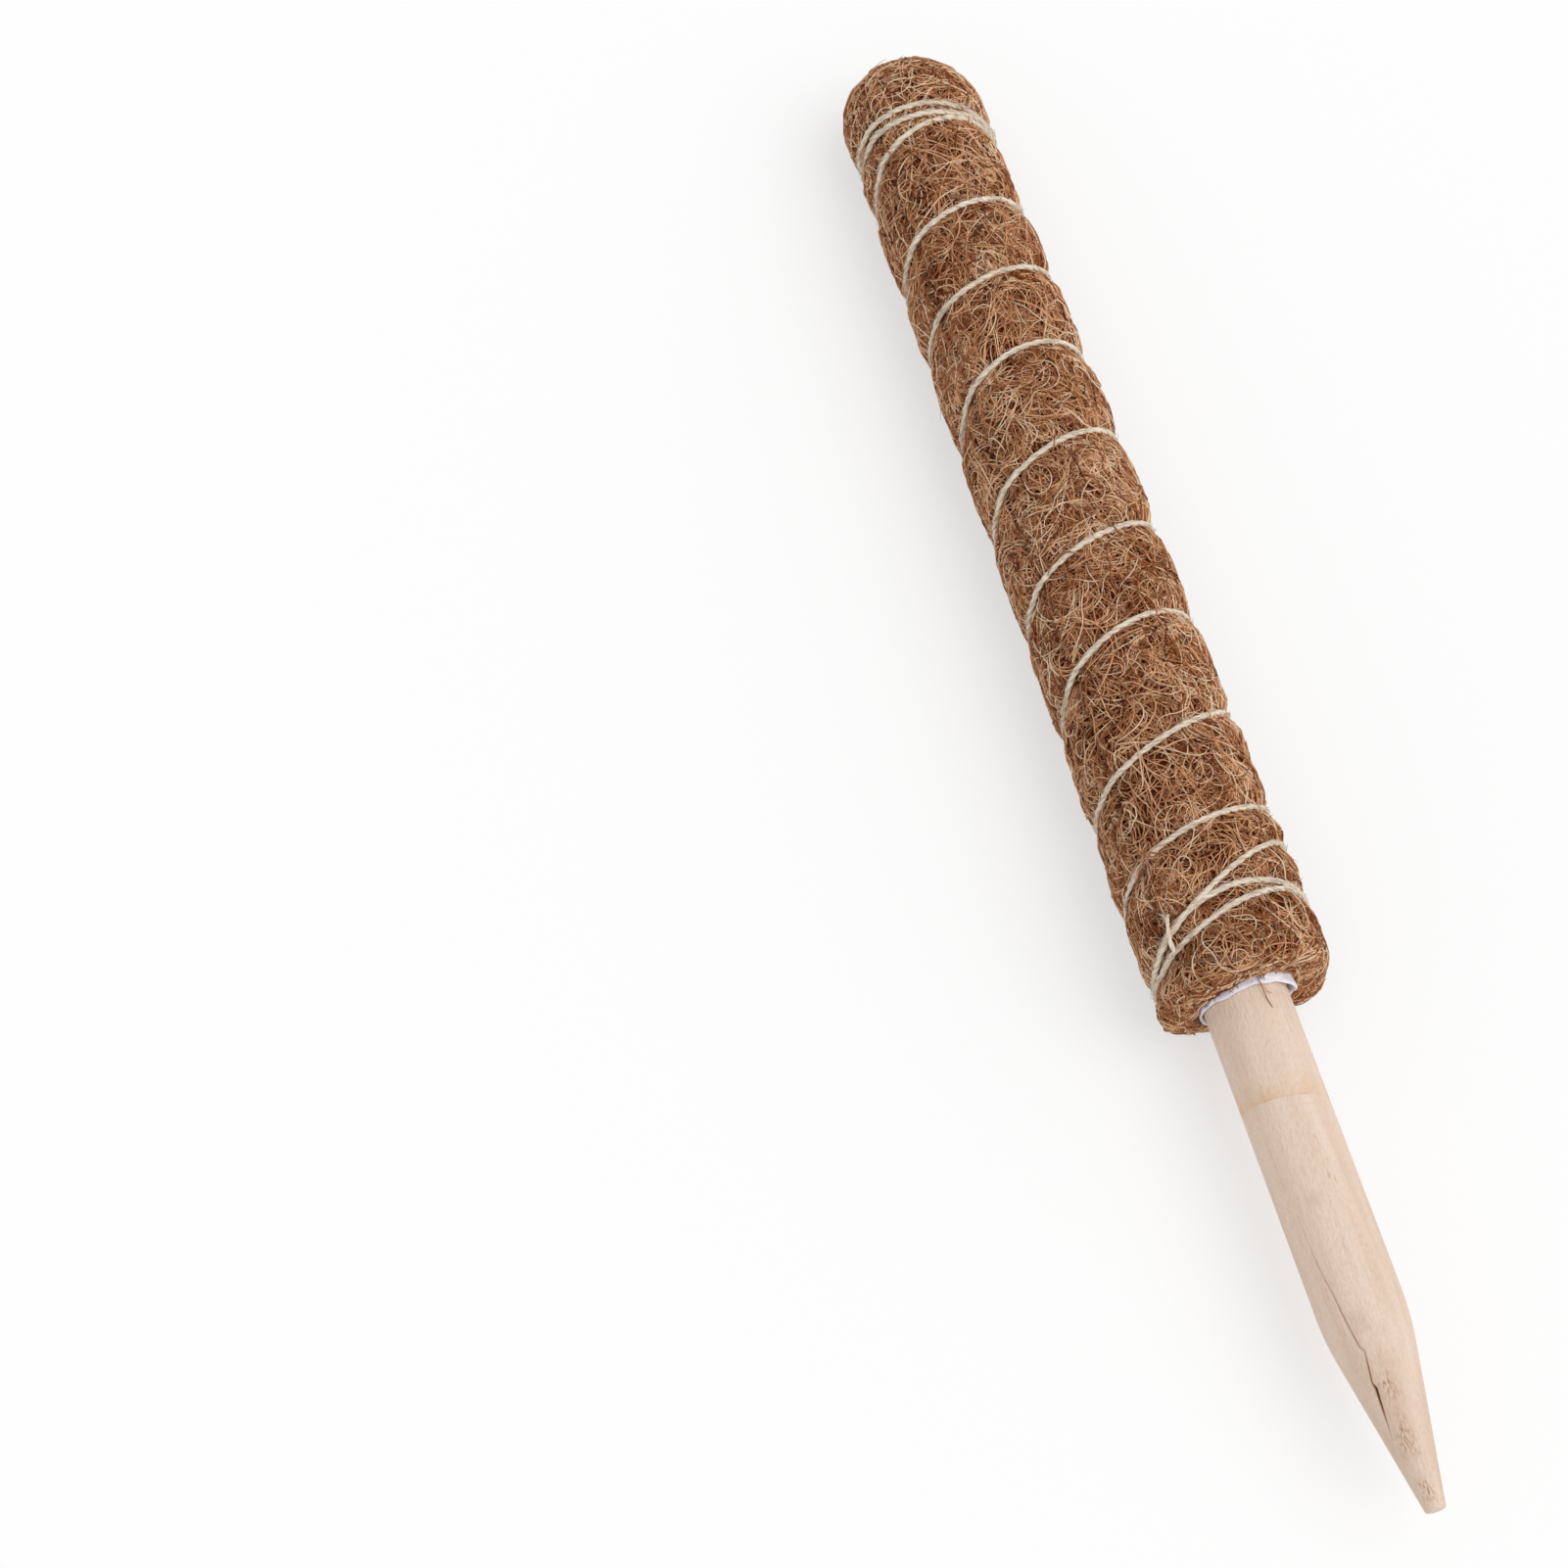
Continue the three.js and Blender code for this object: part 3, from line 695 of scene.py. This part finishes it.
def twine_plies(name, middle, seed, slim=1.0):
    """Two plies round one middle line, each offset by a direction that turns once in a lay, half a turn
    apart. Their thickness wavers a little."""
    rng = np.random.default_rng(seed)
    length = np.concatenate([[0], np.cumsum(np.linalg.norm(np.diff(middle, axis=0), axis=1))])
    spoke, sideways = twine_frame(middle)
    wander = np.cumsum(rng.normal(0, 0.05, len(length)))
    turn = TAU * length / PLY_LAY + wander + np.array([[0], [np.pi]])
    offset = np.cos(turn)[..., None] * spoke + np.sin(turn)[..., None] * sideways
    waver = np.convolve(rng.normal(0, 1, len(length) + 24), np.ones(25) / 5, "valid")
    radii = PLY_RADIUS * slim * (1 + 0.06 * np.stack([waver, -waver]))
    spread = PLY_OFFSET * np.broadcast_to(slim, length.shape)[:, None]
    points, quads, ends = sweep(middle + spread * offset, -offset, radii, PLY_SIDES)
    mesh = mesh_of(name, points, [quads.reshape(-1, 4), ends])
    add_twine_maps(mesh, length, ends.size)
    return mesh


def add_twine_maps(mesh, length, end_corners):
    """The lay map gives turns round the ply and millimetres along it. The strip map packs the lengths into
    rows, so that no two faces share a place."""
    steps = len(length) - 1
    around = np.arange(PLY_SIDES + 1) / PLY_SIDES
    u = np.stack([around[:-1], around[1:], around[1:], around[:-1]], axis=-1)
    v = np.stack([length[:-1], length[:-1], length[1:], length[1:]], axis=-1)
    lay = np.empty((2, steps, PLY_SIDES, 4, 2))
    lay[..., 0] = u + np.array([0, 7.3])[:, None, None, None]
    lay[..., 1] = v[:, None]
    rows = -(-2 * steps // MAP_ROW) + 1
    number = np.arange(2 * steps).reshape(2, steps)
    place = number % MAP_ROW
    ends = np.stack([place, place, place + 1, place + 1], axis=-1)[:, :, None]
    strip = np.empty_like(lay)
    strip[..., 0] = 0.01 + 0.98 * ends / MAP_ROW
    strip[..., 1] = ((number // MAP_ROW + 0.5)[:, :, None, None] + 0.8 * (u - 0.5)) / rows
    turn = np.arange(end_corners) * TAU / PLY_SIDES
    caps = np.stack([0.002 * np.cos(turn) + 0.01, 0.002 * np.sin(turn) + 0.995], axis=-1)
    for name, values in (("lay", lay), ("OFBake", strip)):
        layer = mesh.uv_layers.new(name=name)
        layer.data.foreach_set("uv", np.concatenate([values.ravel(), caps.ravel()]).astype(np.float32))


# %% Spiral and ties
def twine_piece(name, first, last, seed, node):
    """A stretch of the winding as a two-ply twine that stands for its CAD node."""
    middle = twine_middle(first, last)
    piece = piece_of(name, twine_plies(name, middle, seed), jute_twine, "pole")
    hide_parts(node)
    return middle


spiral_middle = twine_piece("twine_spiral", 1.70, 11.24, 31, "spiral_twine")
top_middle = twine_piece("twine_top_tie", 11.26, LAST_TURN, 32, "top_tie")
bottom_middle = twine_piece("twine_bottom_tie", FIRST_TURN, 1.68, 33, "bottom_tie")

# %% The tail
TAIL_STEPS = 24
along = np.linspace(8.2, 15.0, TAIL_STEPS)
angle = np.radians(np.linspace(-45.4, -40.6, TAIL_STEPS))
hump = 0.9 * np.exp(-(((along - 11.6) / 2.9) ** 4)) - 0.55
middle = on_pole(along, angle, crown(along, angle, TWINE_BLUR) + hump)
mesh = twine_plies("twine_tail", middle, 34, np.linspace(0.85, 0.6, TAIL_STEPS))
tail = piece_of("twine_tail", mesh, jute_twine, "pole")
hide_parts("bottom_tie_tail")


# %% Hairs of the twine
def fuzz(name, middle, seed, count, stride, rise):
    """Fine hairs of a twine: each runs along its skin and rises with the square of the way gone."""
    rng = np.random.default_rng(seed)
    steps = np.arange(6)
    start = rng.integers(0, len(middle), count)
    way = rng.choice([-1, 1], count) * rng.uniform(*stride, count)
    place = np.clip((start[:, None] + way[:, None] * steps).round().astype(int), 0, len(middle) - 1)
    spoke, sideways = twine_frame(middle)
    around = rng.normal(0, 0.8, count)[:, None] + rng.normal(0, 0.08, (count, 1)) * steps
    outward = np.cos(around)[..., None] * spoke[place] + np.sin(around)[..., None] * sideways[place]
    height = TWINE_RADIUS - 0.08 + rng.uniform(*rise, count)[:, None] * (steps / 5) ** 2
    paths = above_floor(middle[place] + height[..., None] * outward)
    thickness, shades = rng.uniform(0.07, 0.13, count), rng.uniform(0.1, 0.9, count)
    hairs(name, paths, outward, thickness, shades, jute_hair)


fuzz("twine_spiral_hairs", spiral_middle, 35, 820, (0.8, 2.4), (0.05, 0.7))
fuzz("twine_top_hairs", top_middle, 36, 280, (0.8, 2.4), (0.05, 0.8))
fuzz("twine_bottom_hairs", bottom_middle, 37, 260, (0.8, 2.4), (0.05, 0.8))

# %% The tail's frayed end
rng = np.random.default_rng(38)
FRAY = 14
way = np.linspace(0, 1, 7)
along = 13.9 + rng.uniform(0.8, 2.4, FRAY)[:, None] * way
angle = np.radians(-41.0 + rng.normal(-0.8, 3.0, FRAY)[:, None] * way**1.5)
lift = 0.05 + rng.uniform(-0.2, 0.8, FRAY)[:, None] * way
paths = on_pole(along, angle, crown(along, angle) + lift)
thickness, shades = rng.uniform(0.08, 0.15, FRAY), rng.uniform(0.1, 0.9, FRAY)
hairs("twine_tail_hairs", paths, spoke_at(angle), thickness, shades, jute_hair)

# %% [markdown]
# ## The plastic tube
# Only the cut rim of the thin white tube shows, between the coir and the stake. It was cut by hand, so it
# wavers, and at one side it is folded over a little. The wall is a closed loop of points carried round the
# pole: up the inside, over the lip and down the outside.

# %% Tube finish
tube_plastic, tree, shader = new_finish("tube_plastic", 0.35, 0.5)
milk = add_ramp(tree, grain(tree, 300.0, 3.0), [(0.3, linear(214, 211, 220)), (0.7, linear(236, 234, 241))])
tree.links.new(milk, shader.inputs["Base Color"])
add_bump(tree, shader, grain(tree, 700.0, 2.0), 0.0004, 0.4)
print("tube finish ready")

# %% Tube geometry
TUBE_INNER, TUBE_OUTER, TUBE_LENGTH = 8.05, 8.8, 191.0
TUBE_COLUMNS = 288
RIM_PROUD, RIM_REACH = 0.85, 3.0
FLAP_ANGLE, FLAP_STEP, FLAP_BLUR = np.radians(32), 0.32, 0.1


def tube_rings():
    """The wall's section as a closed loop, moved by the rim's waver, by the curled lip at the right and by a
    thin flap, whose round end is a step on the outside."""
    turn = np.linspace(0, np.pi, 9)
    wall = (TUBE_OUTER - TUBE_INNER) / 2
    lip_along = wall * (1 - np.sin(turn))
    lip_radius = (TUBE_OUTER + TUBE_INNER) / 2 - wall * np.cos(turn)
    inner = np.array([TUBE_LENGTH, 60, 12, 5, 2, 1])
    outer = np.concatenate([np.linspace(0.5, 3.0, 26), [5, 12, 60, TUBE_LENGTH]])
    along = np.concatenate([inner, lip_along, outer])[:, None]
    radius = np.concatenate([np.full(6, TUBE_INNER), lip_radius, np.full(30, TUBE_OUTER)])[:, None]
    angle = TAU * np.arange(TUBE_COLUMNS) / TUBE_COLUMNS
    near_rim = np.exp(-along / RIM_REACH)
    waver = 0.2 * np.sin(3 * angle + 0.5) + 0.12 * np.sin(7 * angle + 2.0) + 0.07 * np.sin(13 * angle)
    curl = near_angle(angle, 66, 0.3)
    push = near_rim * np.maximum(0, 0.9 * curl + 0.1 * np.sin(5 * angle))
    off_flap = wrapped(angle - FLAP_ANGLE)
    outside = (np.abs(off_flap) < 0.5) & (radius > TUBE_OUTER - 0.01)
    step = FLAP_STEP * outside * np.clip((along - 0.3 - 12 * off_flap**2) / FLAP_BLUR, 0, 1)
    place = along - near_rim * (RIM_PROUD - waver + 0.4 * curl)
    return on_pole(np.minimum(place, TUBE_LENGTH), angle[None], radius + push + step)


points, faces = shell(tube_rings(), joined=True)
tube = piece_of("tube_wall", mesh_of("tube_wall", points, faces), tube_plastic, "pole")
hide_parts("core_tube")

# %% [markdown]
# ## The wooden stake
# The stake is turned from pale wood: a plain shank, a rounded shoulder and a long blunt point, with a crack,
# combed grain and a faint amber ring. A CAD lathe shape is too smooth for that, so the surface is a fine grid
# whose radius is pressed in along the crack and the combed grain. The ring is a plane that cuts the wood, so
# the finish works out each point's distance from it.

# %% Wood finish
stake_wood, tree, shader = new_finish("stake_wood", 0.6, 0.3)
colour = add_ramp(tree, grain(tree, 300.0, 3.0, 0.08), [
    (0.3, linear(222, 197, 177)),
    (0.5, linear(230, 207, 188)),
    (0.72, linear(235, 214, 198)),
])
lines = add_ramp(tree, grain(tree, 2600.0, 3.0, 0.02), [(0.3, (0.92, 0.89, 0.86, 1)), (0.5, WHITE)])
pebble = grain(tree, 2300.0, 3.0, 0.45)
mottle = add_ramp(tree, pebble, [(0.34, (0.9, 0.87, 0.85, 1)), (0.58, WHITE)])
flecks = add_ramp(tree, grain(tree, 3400.0, 1.0, 0.12), [(0.26, (0.8, 0.7, 0.62, 1)), (0.36, WHITE)])
for shade, amount in ((lines, 0.5), (mottle, 0.55), (flecks, 0.4)):
    colour = multiply(tree, colour, shade, amount)

# The combed grain's noise gives its bump and also painted shade in its grooves and a painted highlight on its
# ridges.
teeth = grain(tree, 5200.0, 2.0, 0.1)
groove_shade_and_ridge_highlight = add_ramp(tree, teeth, [
    (0.36, linear(204, 174, 146)),
    (0.5, WHITE),
    (0.62, (1.06, 1.06, 1.06, 1)),
])
combed = add_node(tree, "ShaderNodeAttribute", attribute_name="comb").outputs["Fac"]
colour = multiply(tree, colour, groove_shade_and_ridge_highlight, combed)
# Painted shade in the crack, darkest where it is most open, together with the wood's real stains.
crack_shade_and_stain_fac = add_node(tree, "ShaderNodeAttribute", attribute_name="crack_shade_and_stain").outputs["Fac"]
colour = multiply(tree, colour, add_ramp(tree, crack_shade_and_stain_fac, [
    (0.0, WHITE),
    (0.5, linear(178, 144, 116)),
    (1.0, linear(66, 42, 26)),
]))

# %% Amber ring
RING_NORMAL = AXIS + 0.13 * SIDE
RING_AT, RING_REACH = RIM @ RING_NORMAL - 21.4, 6.0
across = add_node(tree, "ShaderNodeVectorMath", operation="DOT_PRODUCT")
across.inputs[1].default_value = RING_NORMAL / MM
tree.links.new(tree.nodes.new("ShaderNodeTexCoord").outputs["Object"], across.inputs[0])
low, high = RING_AT - RING_REACH, RING_AT + RING_REACH
ring_place = add_node(tree, "ShaderNodeMapRange", From_Min=low, From_Max=high)
tree.links.new(across.outputs["Value"], ring_place.inputs["Value"])
ring = add_ramp(tree, ring_place.outputs["Result"], [
    (0.48, WHITE),
    (0.50, linear(240, 224, 206)),
    (0.52, linear(249, 236, 214)),
    (0.64, linear(252, 243, 229)),
    (0.9, WHITE),
])
patchy = add_ramp(tree, grain(tree, 240.0, 2.0, 0.4), [(0.38, (0.25, 0.25, 0.25, 1)), (0.62, WHITE)])
tree.links.new(multiply(tree, colour, ring, patchy), shader.inputs["Base Color"])
relief = add_node(tree, "ShaderNodeMath", operation="MULTIPLY_ADD")
for source, socket in zip((teeth, combed, pebble), relief.inputs):
    tree.links.new(source, socket)
add_bump(tree, shader, relief.outputs["Value"], 0.0003, 0.7)
print("wood finish ready")

# %% Stake profile
STAKE_RADIUS, STAKE_TIP, STAKE_END = 7.75, -95.4, 60.0
TIP_RADIUS, POINT_LENGTH, SHOULDER = 1.8, 33.0, 9.0
CONE_START = STAKE_TIP + POINT_LENGTH


def stake_radius(along):
    """A straight cone and a straight shank, with a parabola between them over the shoulder's length."""
    slope = (STAKE_RADIUS - TIP_RADIUS) / POINT_LENGTH
    short = np.clip((CONE_START + SHOULDER / 2 - along) / SHOULDER, 0, 1)
    past = np.maximum(CONE_START - SHOULDER / 2 - along, 0)
    return STAKE_RADIUS - slope * SHOULDER / 2 * short**2 - slope * past


# %% Crack and combed grain
CRACK = np.array([
    (-26.0, -56, 0.03), (-34.4, -53, 0.08), (-42.3, -49, 0.06), (-48.1, -47, 0.13), (-52.8, -44.5, 0.25),
    (-56.7, -40, 0.3), (-60.0, -38, 0.36), (-66.4, -33.5, 0.4), (-67.4, -29, 0.3), (-70.0, -33, 0.5),
    (-72.8, -39, 0.5), (-73.8, -36.5, 1.0), (-76.6, -41, 0.8), (-79.7, -47, 0.34), (-82.6, -55, 0.1),
])
COMBED = (
    (-24.5, -5, 2.2, 0.8, 0.35), (-30.0, 8, 3.0, 0.8, 0.4), (-36.5, 13, 3.0, 0.8, 0.4),
    (-51.5, -3, 4.0, 0.7, 0.35), (-74.3, -16, 2.2, 1.4, 1.0), (-79.5, -14, 2.5, 0.9, 0.5),
    (-83.8, -22, 2.6, 1.7, 1.0), (-92.2, -22, 2.0, 1.2, 1.0), (-86.0, 120, 3.0, 2.0, 0.8),
    (-78.0, -140, 3.0, 1.8, 0.7),
)
STAINS = ((-40.2, -20, 1.5, 1.5, 0.07), (-62.6, -21, 2.4, 1.6, 0.08), (-80.0, -12, 15.0, 6.0, 0.06))


def crack_depth(along, angle):
    """How open the crack is at a point: its strength there, times a narrow bell across it."""
    place, line, strength = CRACK[::-1].T
    open_here = np.interp(along, place, strength, left=0, right=0)
    apart = (angle - np.radians(np.interp(along, place, line))) * stake_radius(along)
    return open_here * np.exp(-((apart / (0.09 + 0.13 * open_here)) ** 2))


def patches(along, angle, spots):
    """Soft-edged spots, each with a place along, an angle, a half length, a half width and a strength."""
    total = np.zeros(np.broadcast(along, angle).shape)
    for middle, degrees, long, wide, strength in spots:
        apart = wrapped(angle - np.radians(degrees)) * stake_radius(along)
        total += strength * np.exp(-(((along - middle) / long) ** 4) - (apart / wide) ** 4)
    return total


# %% Stake geometry
STAKE_COLUMNS, CRACK_DEPTH, COMB_DEPTH = 300, 0.55, 0.06


def stake_rings():
    """Rings pressed in by the crack and the combed grain, with how dark each point is painted (shade in the
    crack plus stains) and how combed it is.
    """
    tip = STAKE_TIP + np.array([0, 0.02, 0.15, 0.4])
    cone = np.linspace(STAKE_TIP + 0.6, CONE_START + 5, 150)
    shank = np.linspace(CONE_START + 5.4, 3, 130)
    along = np.concatenate([tip, cone, shank, [20, STAKE_END - 1.2, STAKE_END]])[:, None]
    angle = wrapped(TAU * np.arange(STAKE_COLUMNS)[None] / STAKE_COLUMNS)
    crack, combed = crack_depth(along, angle), patches(along, angle, COMBED)
    radius = stake_radius(along) - CRACK_DEPTH * crack - COMB_DEPTH * combed
    radius += 0.05 * np.sin(3 * angle + along * 0.05) * np.clip((CONE_START - along) / 8, 0, 1)
    trim = np.ones_like(along)
    trim[:3, 0] = (0.55, 0.8, 0.95)
    trim[-1, 0] = 0.85
    # Painted shade in the crack, plus the real stains.
    dark = np.clip(crack + patches(along, angle, STAINS), 0, 1)
    return on_pole(along, angle, radius * trim), dark, combed


rings, dark, combed = stake_rings()
points, faces = shell(rings)
mesh = mesh_of("stake_body", points, faces)
for name, values in (("crack_shade_and_stain", dark), ("comb", combed)):
    layer = mesh.attributes.new(name, "FLOAT", "POINT")
    layer.data.foreach_set("value", np.concatenate([values.ravel(), [0, 0]]).astype(np.float32))
stake = piece_of("stake_body", mesh, stake_wood, "stake")
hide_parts("stake")

# %% [markdown]
# ## Loose fibres
# What makes coir look like coir is the untidiness: hairs that stand off the outline, hairs over the twine,
# and a few that hang over the tube's rim and lie on the stake.

# %% Strays on the outline
rng = np.random.default_rng(51)
STRAYS = 120
starts = scattered(rng, STRAYS)
paths, outward = walk(rng, starts, rng.uniform(3, 8, STRAYS), 9, 0.2, 0.1, wave=0.0)
rise = np.linspace(0, 1, 9) ** 2 * rng.uniform(0.2, 1.1, STRAYS)[:, None]
paths = above_floor(paths + rise[..., None] * outward)
thickness, shades = rng.uniform(0.12, 0.2, STRAYS), rng.normal(0.66, 0.12, STRAYS)
hairs("coir_strays", paths, outward, thickness, shades)


# %% Fibres over the twine
def over_twine(paths):
    """Lifts fibres at a strand to the twine's top, less half the square of the distance from its middle."""
    along, angle, radius = pole_place(paths)
    apart = strand_distance(along, angle)
    top = crown(along, angle, TWINE_BLUR) - TWINE_SUNK + 0.15 - 0.5 * apart**2
    return above_floor(on_pole(along, angle, np.where(apart < 2.5, np.maximum(radius, top), radius)))


rng = np.random.default_rng(52)
CROSSING, TUFT = 90, 30
tuft = on_pole(26.8 + rng.normal(0, 0.7, TUFT), np.radians(rng.normal(-43, 2.0, TUFT)), NEAR_RADIUS)
starts = np.concatenate([scattered(rng, CROSSING), tuft])
count = len(starts)
lengths = np.append(rng.uniform(5, 12, CROSSING), rng.uniform(2.5, 6, TUFT))
paths, outward = walk(rng, starts, lengths, 13, 0.25, rng.uniform(0, 0.3, count))
thickness, shades = rng.uniform(0.24, 0.36, count), rng.normal(0.68, 0.14, count)
hairs("coir_over_twine", over_twine(paths), outward, thickness, shades)

# %% Bristles on the cut end
rng = np.random.default_rng(53)
BRISTLES = 640
angle = rng.uniform(-np.pi, np.pi, BRISTLES)
starts = on_pole(MOUTH - 3 + rng.uniform(0, 5, BRISTLES), angle, rng.uniform(9.6, 16.5, BRISTLES))
roots, outward = settle(starts, -0.5)
aside = unit(np.cross(outward, rng.normal(size=(BRISTLES, 3))))[:, None]
outward = np.repeat(outward[:, None], 5, axis=1)
way = np.linspace(0, 1, 5)[:, None]
long = rng.uniform(0.9, 2.4, BRISTLES)[:, None, None]
out = rng.uniform(0.12, 0.36, BRISTLES)[:, None, None]
lean = way * (1 - out) * aside + out * way * (1.6 - 0.6 * way) * outward
thickness, shades = rng.uniform(0.2, 0.34, BRISTLES), rng.normal(0.54, 0.2, BRISTLES)
hairs("coir_bristles", above_floor(roots[:, None] + long * lean), outward, thickness, shades)

# %% Hairs on the rim
rng = np.random.default_rng(54)
RIM_HAIRS = 80
way = np.linspace(0, 1, 5)
angle = rng.uniform(-1.6, 1.2, RIM_HAIRS)[:, None] + rng.normal(0, 0.12, RIM_HAIRS)[:, None] * way
along = mouth_edge(angle) + 0.7 - rng.uniform(0.6, 1.9, RIM_HAIRS)[:, None] * way
paths = on_pole(along, angle, 9.0 + 0.9 * (1 - way) ** 2)
thickness, shades = rng.uniform(0.07, 0.16, RIM_HAIRS), rng.uniform(0.1, 0.6, RIM_HAIRS)
hairs("coir_rim_hairs", paths, spoke_at(angle), thickness, shades)

# %% Single fibres and flakes
LOOSE = np.array([
    ((1.9, -5.5, 15.4), (1.0, -2.5, 13.0), (0.2, 0.0, 10.8), (-0.3, 2.0, 9.1)),
    ((0.8, 8.5, 9.5), (-1.6, 11.5, 8.85), (-3.4, 15.0, 8.0), (-5.3, 18.5, 7.95)),
    ((-0.6, 11.0, 9.0), (-1.6, 15.0, 8.6), (-2.2, 20.0, 8.05), (-2.5, 25.5, 7.95)),
])
LOOSE_WIDTHS, LOOSE_SHADES = np.array([0.26, 0.18, 0.15]), np.array([0.9, 0.28, 0.7])
FLAKES = np.array([
    ((164.9, -9.0, 13.6), (164.9, -6.0, 13.7), (164.6, -3.0, 13.7), (164.3, 0.0, 13.6)),
    ((5.4, -41.0, 16.0), (4.1, -28.0, 16.0), (2.9, -17.0, 15.9), (2.1, -5.0, 15.9)),
    ((10.2, 24.3, 16.0), (8.6, 24.3, 16.0), (7.1, 24.0, 16.0), (5.5, 23.0, 15.9)),
])
FLAKE_SHADES = np.array([0.6, 0.66, 0.3])


def placed(knots, steps):
    """Paths through knots of distance along, angle in degrees and radius, with their outward directions."""
    where = np.linspace(0, knots.shape[1] - 1, steps)
    along, angle, radius = (np.stack([through(line, where) for line in knots[..., k]]) for k in range(3))
    angle = np.radians(angle)
    return on_pole(along, angle, radius), spoke_at(angle)


paths, outward = placed(LOOSE, 13)
hairs("coir_loose", paths, outward, LOOSE_WIDTHS, LOOSE_SHADES)

rng = np.random.default_rng(55)
SCRAPS, SHREDS = 44, 5
starts, lengths = scattered(rng, SCRAPS), rng.uniform(1.5, 4, SCRAPS)
scraps, scrap_out = walk(rng, starts, lengths, 9, 0.06, 0.0, wave=0.0)
count = len(FLAKES) * SHREDS
shreds = np.repeat(FLAKES, SHREDS, axis=0) + rng.normal(size=(count, 1, 3)) * (0.2, 1.0, 0)
paths, outward = settle(placed(shreds, 9)[0], rng.uniform(-0.05, 0.15, (count, 1)))
paths, outward = np.concatenate([scraps, paths]), np.concatenate([scrap_out, outward])
wide = np.append(rng.uniform(0.35, 0.9, SCRAPS), rng.uniform(0.3, 0.6, count))
shades = np.repeat(FLAKE_SHADES, SHREDS) + rng.normal(0, 0.12, count)
shades = np.append(rng.normal(0.3, 0.18, SCRAPS), shades)
hairs("coir_flakes", paths, outward, wide, shades, coir_scrap, sides=6, flat=0.2)

# %% [markdown]
# ## Floor, light and background
# A pale floor takes the shadow, and the light is soft: an even white surround, and one broad lamp from the
# picture's right, where the coir is lighter.

# %% Floor
def seen_share(tree, unseen, seen):
    """One value for rays from the camera or off gloss or glass, which show the background, one for others."""
    rays = tree.nodes.new("ShaderNodeLightPath").outputs
    value = rays["Is Camera Ray"]
    for ray in ("Is Glossy Ray", "Is Transmission Ray"):
        most = add_node(tree, "ShaderNodeMath", operation="MAXIMUM")
        tree.links.new(rays[ray], most.inputs[0])
        tree.links.new(value, most.inputs[1])
        value = most.outputs["Value"]
    share = add_node(tree, "ShaderNodeMath", operation="MULTIPLY_ADD")
    share.inputs[1].default_value, share.inputs[2].default_value = seen - unseen, unseen
    tree.links.new(value, share.inputs[0])
    return share.outputs["Value"]


floor_finish, tree, shader = new_finish("pale_floor", 0.9, 0.0)
shader.inputs["Base Color"].default_value = (0.96, 0.96, 0.96, 1)
white = add_node(tree, "ShaderNodeEmission", Strength=1.0)
blend = tree.nodes.new("ShaderNodeMixShader")
tree.links.new(seen_share(tree, 0.0, 0.55), blend.inputs["Fac"])
tree.links.new(shader.outputs["BSDF"], blend.inputs[1])
tree.links.new(white.outputs["Emission"], blend.inputs[2])
tree.links.new(blend.outputs["Shader"], tree.nodes["Material Output"].inputs["Surface"])

FLOOR_HALF = 2500.0
square = FLOOR_HALF * np.array([(-1, -1, 0), (1, -1, 0), (1, 1, 0), (-1, 1, 0)], float)
floor_mesh = mesh_of("floor", square, [np.array([[0, 1, 2, 3]])])
floor_mesh.materials.append(floor_finish)
floor = add_object("floor", floor_mesh)
print("floor ready")

# %% Lamp and surround
lamp = bpy.data.lights.new("broad_lamp", "SUN")
lamp.energy, lamp.angle = 1.25, 0.9
lamp_back = unit(np.array([-0.35, -0.5, 1.0]))
lamp_right = unit(np.cross((0, 0, 1.0), lamp_back))
lamp_axes = Matrix((lamp_right, np.cross(lamp_back, lamp_right), lamp_back)).transposed()
add_object("broad_lamp", lamp).matrix_world = lamp_axes.to_4x4()

world = bpy.data.worlds.new("surround")
bpy.context.scene.world = world
world.use_nodes = True
surround = world.node_tree.nodes["Background"]
surround.inputs["Color"].default_value = WHITE
world.node_tree.links.new(seen_share(world.node_tree, 0.68, 1.0), surround.inputs["Strength"])
bpy.context.scene.view_settings.view_transform = "Standard"
